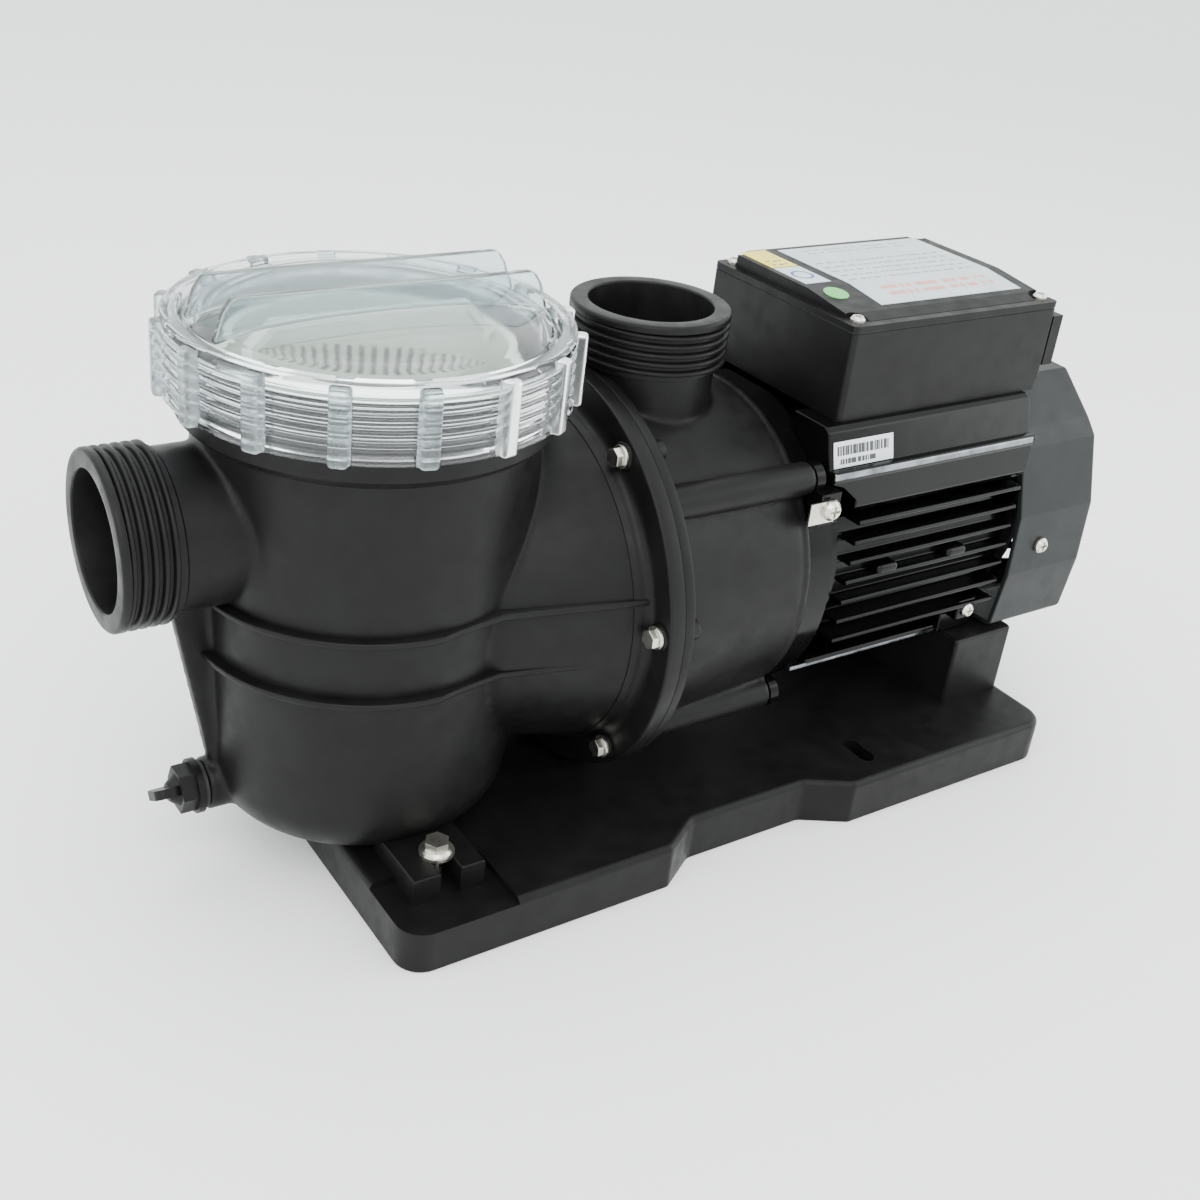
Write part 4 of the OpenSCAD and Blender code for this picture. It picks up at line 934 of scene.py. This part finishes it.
def make_painted_highlight_edges():
    """Painted highlight on the casing's beads and sills: lighter metal strips where the gloss paint catches the
    light.
    """
    reach = high("motor_casing").y
    bars = []
    for side in (1, -1):
        bead = [(reach - 1.6, 56.8), (reach + 0.02, 57.4), (reach + 0.02, 60.6), (reach - 1.6, 61.2)]
        bead = rounded([(side * y, z) for y, z in bead], 1.2, 4)
        bars.append(block("bead", bead, NOSE_X, CASING_END - 2, along_x, 0.5))
        sill = [(side * 60.5, -56.02), (side * 62.02, -56.02), (side * 62.02, -53.4), (side * 60.5, -53.4)]
        sill = rounded(sill, 0.7)
        bars.append(block("sill", sill, 212, CASING_END - 24, along_x, 0.4))
    bars = smooth_shaded(join("casing_painted_highlight_edges", bars), 40)
    dress(bars, "pump", "motor_paint", material=MATERIALS["painted_highlight_edge"])


def make_fan():
    """Cooling fan inside the cowl."""
    disc = [(7, 362), (60.4, 362), (61, 362.6), (61, 363.9), (60.4, 364.5)]
    disc += [(15, 364.5), (15, 383), (14, 384), (7, 384)]
    fan = lathe("fan", disc, SHAFT_AT, ALONG_X, 96)
    parts = []
    for k in range(7):
        blade = block("blade", [(12, -1.2), (56, -1.2), (56, 1.2), (12, 1.2)], 363, 382, along_x, 0.3)
        turn = Matrix.Rotation(math.radians(360 * k / 7), 4, Vector((1, 0, 0)))
        middle = Matrix.Translation(to_frame((363, 0, SHAFT_Z)))
        blade.data.transform(middle @ turn @ middle.inverted())
        parts.append(blade)
    rim = lathe("rim", [(47, 384), (70, 384), (70, 372), (58, 372)], SHAFT_AT, ALONG_X, 96)
    blades = cut(join("blades", parts), rim)
    fan = smooth_shaded(join("fan_body", [fan, blades]), 40)
    dress(fan, "rotor", "impeller_plastic", "cooling_fan")


def cowl_section():
    half = [(0, 79), (38, 78), (60, 58), (67, 50), (76.5, 14), (77.5, -20), (74, -53)]
    half += [(44, -55), (30, -63), (0, -67)]
    points = half + [(-y, z) for y, z in half[-2:0:-1]]
    return rounded(points, [0] + [3] * (len(points) - 1), 4)[::-1]


def make_cowl():
    """Faceted fan cowl with a bevelled back and a grille of slots."""
    wall = 2.5
    shape = cowl_section()
    bevel = 11

    def ring(x, scale, shrink=0.0):
        return [Vector((x, y, z + SHAFT_Z)) for y, z in
                [(p[0] * scale, p[1] * scale) for p in inset(shape, shrink)]]

    back = (77.5 - 12) / 77.5
    loops = [ring(COWL_X, 1, 0.5), ring(COWL_X + 0.5, 1)]
    loops += [ring(COWL_END - bevel - 1, 1), ring(COWL_END - bevel + 0.2, 0.996)]
    loops += [ring(COWL_END - 1, back + 0.012), ring(COWL_END - 0.3, back), ring(COWL_END, back - 0.012)]
    cowl = bridge("cowl_shell", loops)
    inner = bridge("inner", [ring(COWL_X - 1, 1, wall), ring(COWL_END - bevel - wall, 1, wall),
                             ring(COWL_END - wall, back, wall)])
    cut(cowl, inner)
    slots = []
    for k in range(5):
        outer = 54 - 9.5 * k
        inner_r = outer - 5.5
        count = 4 if k == 4 else 8
        for q in range(count):
            part = 360 / count
            gap = math.degrees(2.2 / ((outer + inner_r) / 2))
            span = [part * q + gap, part * (q + 1) - gap]
            outline = arc((0, 0), outer, span[0], span[1], 10) + arc((0, 0), inner_r, span[1], span[0], 10)
            slots.append(block("slot", outline, COWL_END - 5, COWL_END + 2, along_x, 0))
    cut(cowl, join("slots", slots))
    weighted(smooth_shaded(cowl, 12))
    dress(cowl, "pump", "cowl_plastic", "fan_cowl")


# -------------------- lid, ring and basket

def make_ring():
    """Clear locking ring with grip ridges outside and a coarse thread inside."""
    z0 = RIM_Z - 22
    tall = 32
    outer_r = 85
    inner_r = 80.6
    lip_r = 77.6
    outer = [(outer_r + 0.6, 0.4), (outer_r + 0.6, 2.6), (outer_r - 1.2, 3.8), (outer_r - 1.3, 5.8)]
    for k in range(4):
        h = 7 + 5.2 * k
        outer += arc((outer_r - 1.1, h + 0.9), 1.1, -80, 80, 5)
        if k < 3:
            outer += [(outer_r - 1.3, h + 2.8), (outer_r - 1.3, h + 4.4)]
    outer += [(outer_r - 1, tall - 6.5), (outer_r, tall - 5)]
    outer += arc((outer_r - 3.5, tall - 3.5), 3.5, 0, 90, 6)
    inner = [(lip_r + 0.6, tall), (lip_r, tall - 0.6), (lip_r, tall - 4.6), (inner_r, tall - 5)]
    for k in range(4):
        h = tall - 8 - 5 * k
        inner += [(inner_r, h + 1), (inner_r + 1.1, h + 0.3), (inner_r + 1.1, h - 0.9), (inner_r, h - 1.6)]
    inner += [(inner_r, 0)]
    profile = [(inner_r + 0.4, 0), (outer_r + 0.2, 0)] + outer + inner[:-1]
    ring = smooth_shaded(lathe("locking_ring_body", profile, (0, 0, z0), (0, 0, 1), 200), 40)
    dress(ring, "locking_ring", "clear_plastic", "lid_ring")
    lugs = []
    for k in range(16):
        place = facing(math.radians(11.25 + 22.5 * k))
        outline = rounded([(83, -4.4), (88.7, -3.6), (88.7, 3.6), (83, 4.4)], [0.3, 2.2, 2.2, 0.3], 5)
        lugs.append(block("lug", outline, z0 - 0.5, z0 + tall - 1.6, place, 1.4))
    lugs = smooth_shaded(join("locking_ring_lugs", lugs), 50)
    dress(lugs, "locking_ring", "clear_plastic", material=MATERIALS["frosted_plastic"])


def make_lid():
    """Domed clear lid with two upright wings."""
    z0 = RIM_Z + 0.4
    inside = [(0, 10.5), (16, 10.4), (30, 10), (43, 9.3), (55, 8.2), (62, 6.9), (68, 5.0), (70.6, 3)]
    inside += [(71.2, 0.4), (71.4, 0)]
    outside = [(79.4, 0), (79.6, 0.3), (79.6, 3.7), (79.3, 4), (76.4, 4.1), (75.4, 4.9), (74.8, 6.8)]
    outside += [(73.4, 8.6), (70.5, 9.9), (64, 11.4), (56, 12.6), (43, 13.8), (30, 14.5), (16, 14.9), (0, 15)]
    dome = smooth_shaded(lathe("clear_lid_dome", inside + outside, (0, 0, z0), (0, 0, 1), 180), 50)
    dress(dome, "lid", "clear_plastic", "clear_lid")
    half = [(0, 25.5), (66, 25.5), (70, 20), (74, 7.6), (68, 8.2), (55, 11.2), (30, 13), (0, 13.6)]
    outline = half + [(-x, z) for x, z in half[-2:0:-1]]
    radii = [0, 5, 6, 1, 8, 8, 8, 0, 8, 8, 8, 1, 6, 5]
    outline = rounded(outline, radii, 6)[::-1]
    wings = []
    for y in (-15, 15):
        wings.append(block("wing", outline, y - 1.8, y + 1.8, lambda a, b, h: Vector((a, h, z0 + b)), 0.7))
    wings = weighted(smooth_shaded(join("clear_lid_wings", wings), 45))
    dress(wings, "lid", "clear_plastic", material=MATERIALS["tinted_plastic"])


def make_basket():
    """White strainer basket with a rim, fine slots in its wall and a slotted floor."""
    bottom = low("strainer_basket").z
    seat = RIM_Z - 14
    wall = 2.4
    outer = [(0, bottom), (53, bottom), (54, bottom + 1), (59.9, seat), (63.4, seat), (64, seat + 0.6),
             (64, seat + 2.4), (63.4, seat + 3), (61.5, seat + 3.3), (61.5, seat + 8.9), (60.9, seat + 9.5)]
    inner = [(57.8, seat + 9.5), (57.2, seat + 8.9), (57.4, seat - 2), (52.4, bottom + 3.4)]
    inner += [(51.4, bottom + wall), (0, bottom + wall)]
    basket = lathe("basket_body", outer + inner, (0, 0, 0), (0, 0, 1), 192)
    window = cylinder("window", 30, 20, 90, (0, 0, SUCTION_Z), (-1, 0, 0), 64)
    pivot = cylinder("pivot", 2.05, -80, 80, (0, 0, seat + 6.5), (1, 0, 0), 32)
    slots = []
    count = 64
    for row in range(5):
        for k in range(count):
            a = TAU * k / count
            if row in (2, 4) and abs(math.pi - a) < 0.62:  # solid below and above the window
                continue
            z = bottom + 10 + 31 * row
            place = facing(a)
            slot = [(-1.35, z), (1.35, z), (1.35, z + 22), (-1.35, z + 22)]
            slots.append(block("slot", slot, 48, 61, lambda p, q, h: place(h, p, q), 0))
    for k in range(17):
        y = -40 + 5 * k
        half = math.sqrt(48 ** 2 - y * y)
        slot = [(-half, y - 1.35), (half, y - 1.35), (half, y + 1.35), (-half, y + 1.35)]
        slots.append(block("slot", slot, bottom - 1, bottom + 4, upright, 0))
    cut(basket, window, pivot, join("slots", slots))
    smooth_shaded(basket, 35)
    dress(basket, "basket", "white_plastic", "strainer_basket")


# -------------------- base

def base_outline():
    """Edge of the base in plan, with round corners and a waist in each long side."""
    front = low("base_plate").x
    back = high("base_plate").x
    wide = high("base_plate").y
    waist = wide - 13
    near = [(front, -wide), (108, -wide), (129, -waist), (199, -waist), (222, -wide), (back, -wide)]
    points = near + [(x, -y) for x, y in near[::-1]]
    return rounded(points, [13, 5, 8, 8, 5, 13, 13, 5, 8, 8, 5, 13], 8)


def make_base():
    """Base plate with the motor's plinth, fixing slots, bolt holes and pockets below."""
    tall = BASE_TOP
    back = high("base_plate").x
    base = block("base", base_outline(), 0, tall, upright, 3.4, 0.8)
    half = 76
    plinth = rounded([(319, -half), (back - 2.5, -half), (back - 2.5, half), (319, half)], [2, 3, 3, 2], 4)
    add(base, block("plinth", plinth, tall - 6, high("base_plate").z, upright, 1.6, 0))
    saddle = cylinder("saddle", 73, 318, 380, SHAFT_AT, ALONG_X)
    trough = lathe("trough", [(0, 88.4), (101.8, 88.4), (101.8, 122), (0, 122)], SHAFT_AT, ALONG_X)
    tools = [saddle, trough]
    for side in (1, -1):
        y = sorted((side * 75, side * 125))
        step = [(-40, y[0]), (25, y[0]), (25, y[1]), (-40, y[1])]
        tools.append(block("step", rounded(step, [0, 2, 2, 0], 4), tall - 3, tall + 1, upright, 0))
        slot = arc((SLOT_X, side * SLOT_Y + 5.75), 4.25, 0, 180, 12)
        slot += arc((SLOT_X, side * SLOT_Y - 5.75), 4.25, 180, 360, 12)
        tools.append(block("slot", slot, -1, tall + 1, upright, 0))
        tools.append(cylinder("bolt_hole", 3.05, 6, tall + 1, (1, side * 79, 0)))
    for i in range(8):
        for j in (-2, -1, 0, 1):
            outer = j in (-2, 1)
            if outer and i in (0, 5):  # solid round the foot bolts and the fixing slots
                continue
            less = 6 if outer and i in (2, 3, 4) else 0  # narrower beside the waist
            y = j * 43 + 3 + (less if j == -2 else 0)
            x = 12 + i * 43
            pocket = [(x - 18.5, y), (x + 18.5, y), (x + 18.5, y + 38 - less), (x - 18.5, y + 38 - less)]
            tools.append(block("pocket", rounded(pocket, 2, 3), -1, 13, upright, 0))
    cut(base, *tools)
    weighted(smooth_shaded(base, 35))
    dress(base, "pump", "black_plastic", "base_plate")


# -------------------- CAD shapes with softer edges

SOFTENED = [
    # node, body, slot, edge width in millimetres
    ("front_shield", "pump", "motor_paint", 0.8),
    ("terminal_box", "pump", "black_plastic", 1.0),
    ("terminal_cover", "pump", "black_plastic", 0.9),
    ("basket_handle", "handle", "white_plastic", 0.6),
    ("drain_plug", "drain_screw", "black_plastic", 0.6),
    ("cable_gland", "pump", "black_plastic", 0.5),
    ("gland_nut", "pump", "black_plastic", 0.5),
]
FASTENERS = {
    # node: edge width in millimetres
    "housing_bolts": 0.4,
    "housing_washers": 0.25,
    "motor_bolts": 0.4,
    "foot_bolts": 0.35,
    "cover_screws": 0.25,
    "cowl_screws": 0.3,
    "casing_screws": 0.3,
    "earth_screw": 0.35,
    "earth_tag": 0.25,
}


def make_softened():
    fasteners = [(node, "pump", "zinc_steel", width) for node, width in FASTENERS.items()]
    for node, body, slot, width in SOFTENED + fasteners:
        piece = soften(copy_node(node, node + "_piece"), width)
        dress(piece, body, slot, node)


def dress_nodes():
    """Materials for the CAD nodes that stay."""
    slots = {s["node"]: s["material_slot"] for s in frame["record"]["subparts"]}
    grey_ink = srgb(120, 132, 134)
    dark_ink = srgb(46, 48, 50)
    red_ink = srgb(208, 142, 128)
    cover_low = low("rating_label")
    cover_high = high("rating_label")
    span = (cover_low.x + 4, cover_high.x - 4)
    side = low("side_label")
    side_span = (side.x + 2, side.x + 35)
    yellow_low = low("yellow_sticker")
    yellow_span = (yellow_low.x + 3, high("yellow_sticker").x - 3)
    ring_centre = (low("ring_sticker") + high("ring_sticker")) / 2
    labels = {
        "rating_label": printed("rating_print", srgb(178, 190, 190), [
            (grey_ink, ("Y", 5, 6.4, 0.26, cover_low.y + 27, span, 3.2)),
            (grey_ink, ("Y", 2, 4.2, 0.3, cover_low.y + 68, (span[0] + 8, span[1] - 12), 5)),
            (red_ink, ("Y", 2, 6.5, 0.5, cover_low.y + 8, (span[0] + 10, span[1] - 6), 4.5))]),
        "side_label": printed("side_print", srgb(200, 206, 208), [
            (dark_ink, ("Z", 1, 4.4, 1.0, side.z + 5.6, side_span, 0.9)),
            (dark_ink, ("Z", 1, 2.4, 1.0, side.z + 1.6, (side_span[0] + 2, side_span[1] - 8), 1.6))]),
        "yellow_sticker": printed("yellow_print", srgb(214, 200, 60), [
            (dark_ink, ("Y", 2, 5.2, 0.3, yellow_low.y + 3, yellow_span, 2.4))]),
        "green_sticker": mottled("green_dot", srgb(84, 168, 84), srgb(96, 182, 94), (0.3, 0.42)),
        "ring_sticker": ringed("ring_print", srgb(190, 200, 204), srgb(40, 78, 150), ring_centre, (4.2, 5.8)),
        "rear_shield": MATERIALS["motor_paint"],
    }
    for name, obj in frame["nodes"].items():
        material = labels.get(name) or MATERIALS[slots[name]]
        obj.data.materials.clear()
        obj.data.materials.append(material)


make_union_ends()
make_strainer_body()
make_collar()
make_ribs()
make_flange_pair()
make_bolt_pads()
make_feet()
make_pump_body()
make_casing()
make_painted_highlight_edges()
make_fan()
make_base()
make_cowl()
make_ring()
make_lid()
make_basket()
make_softened()
dress_nodes()
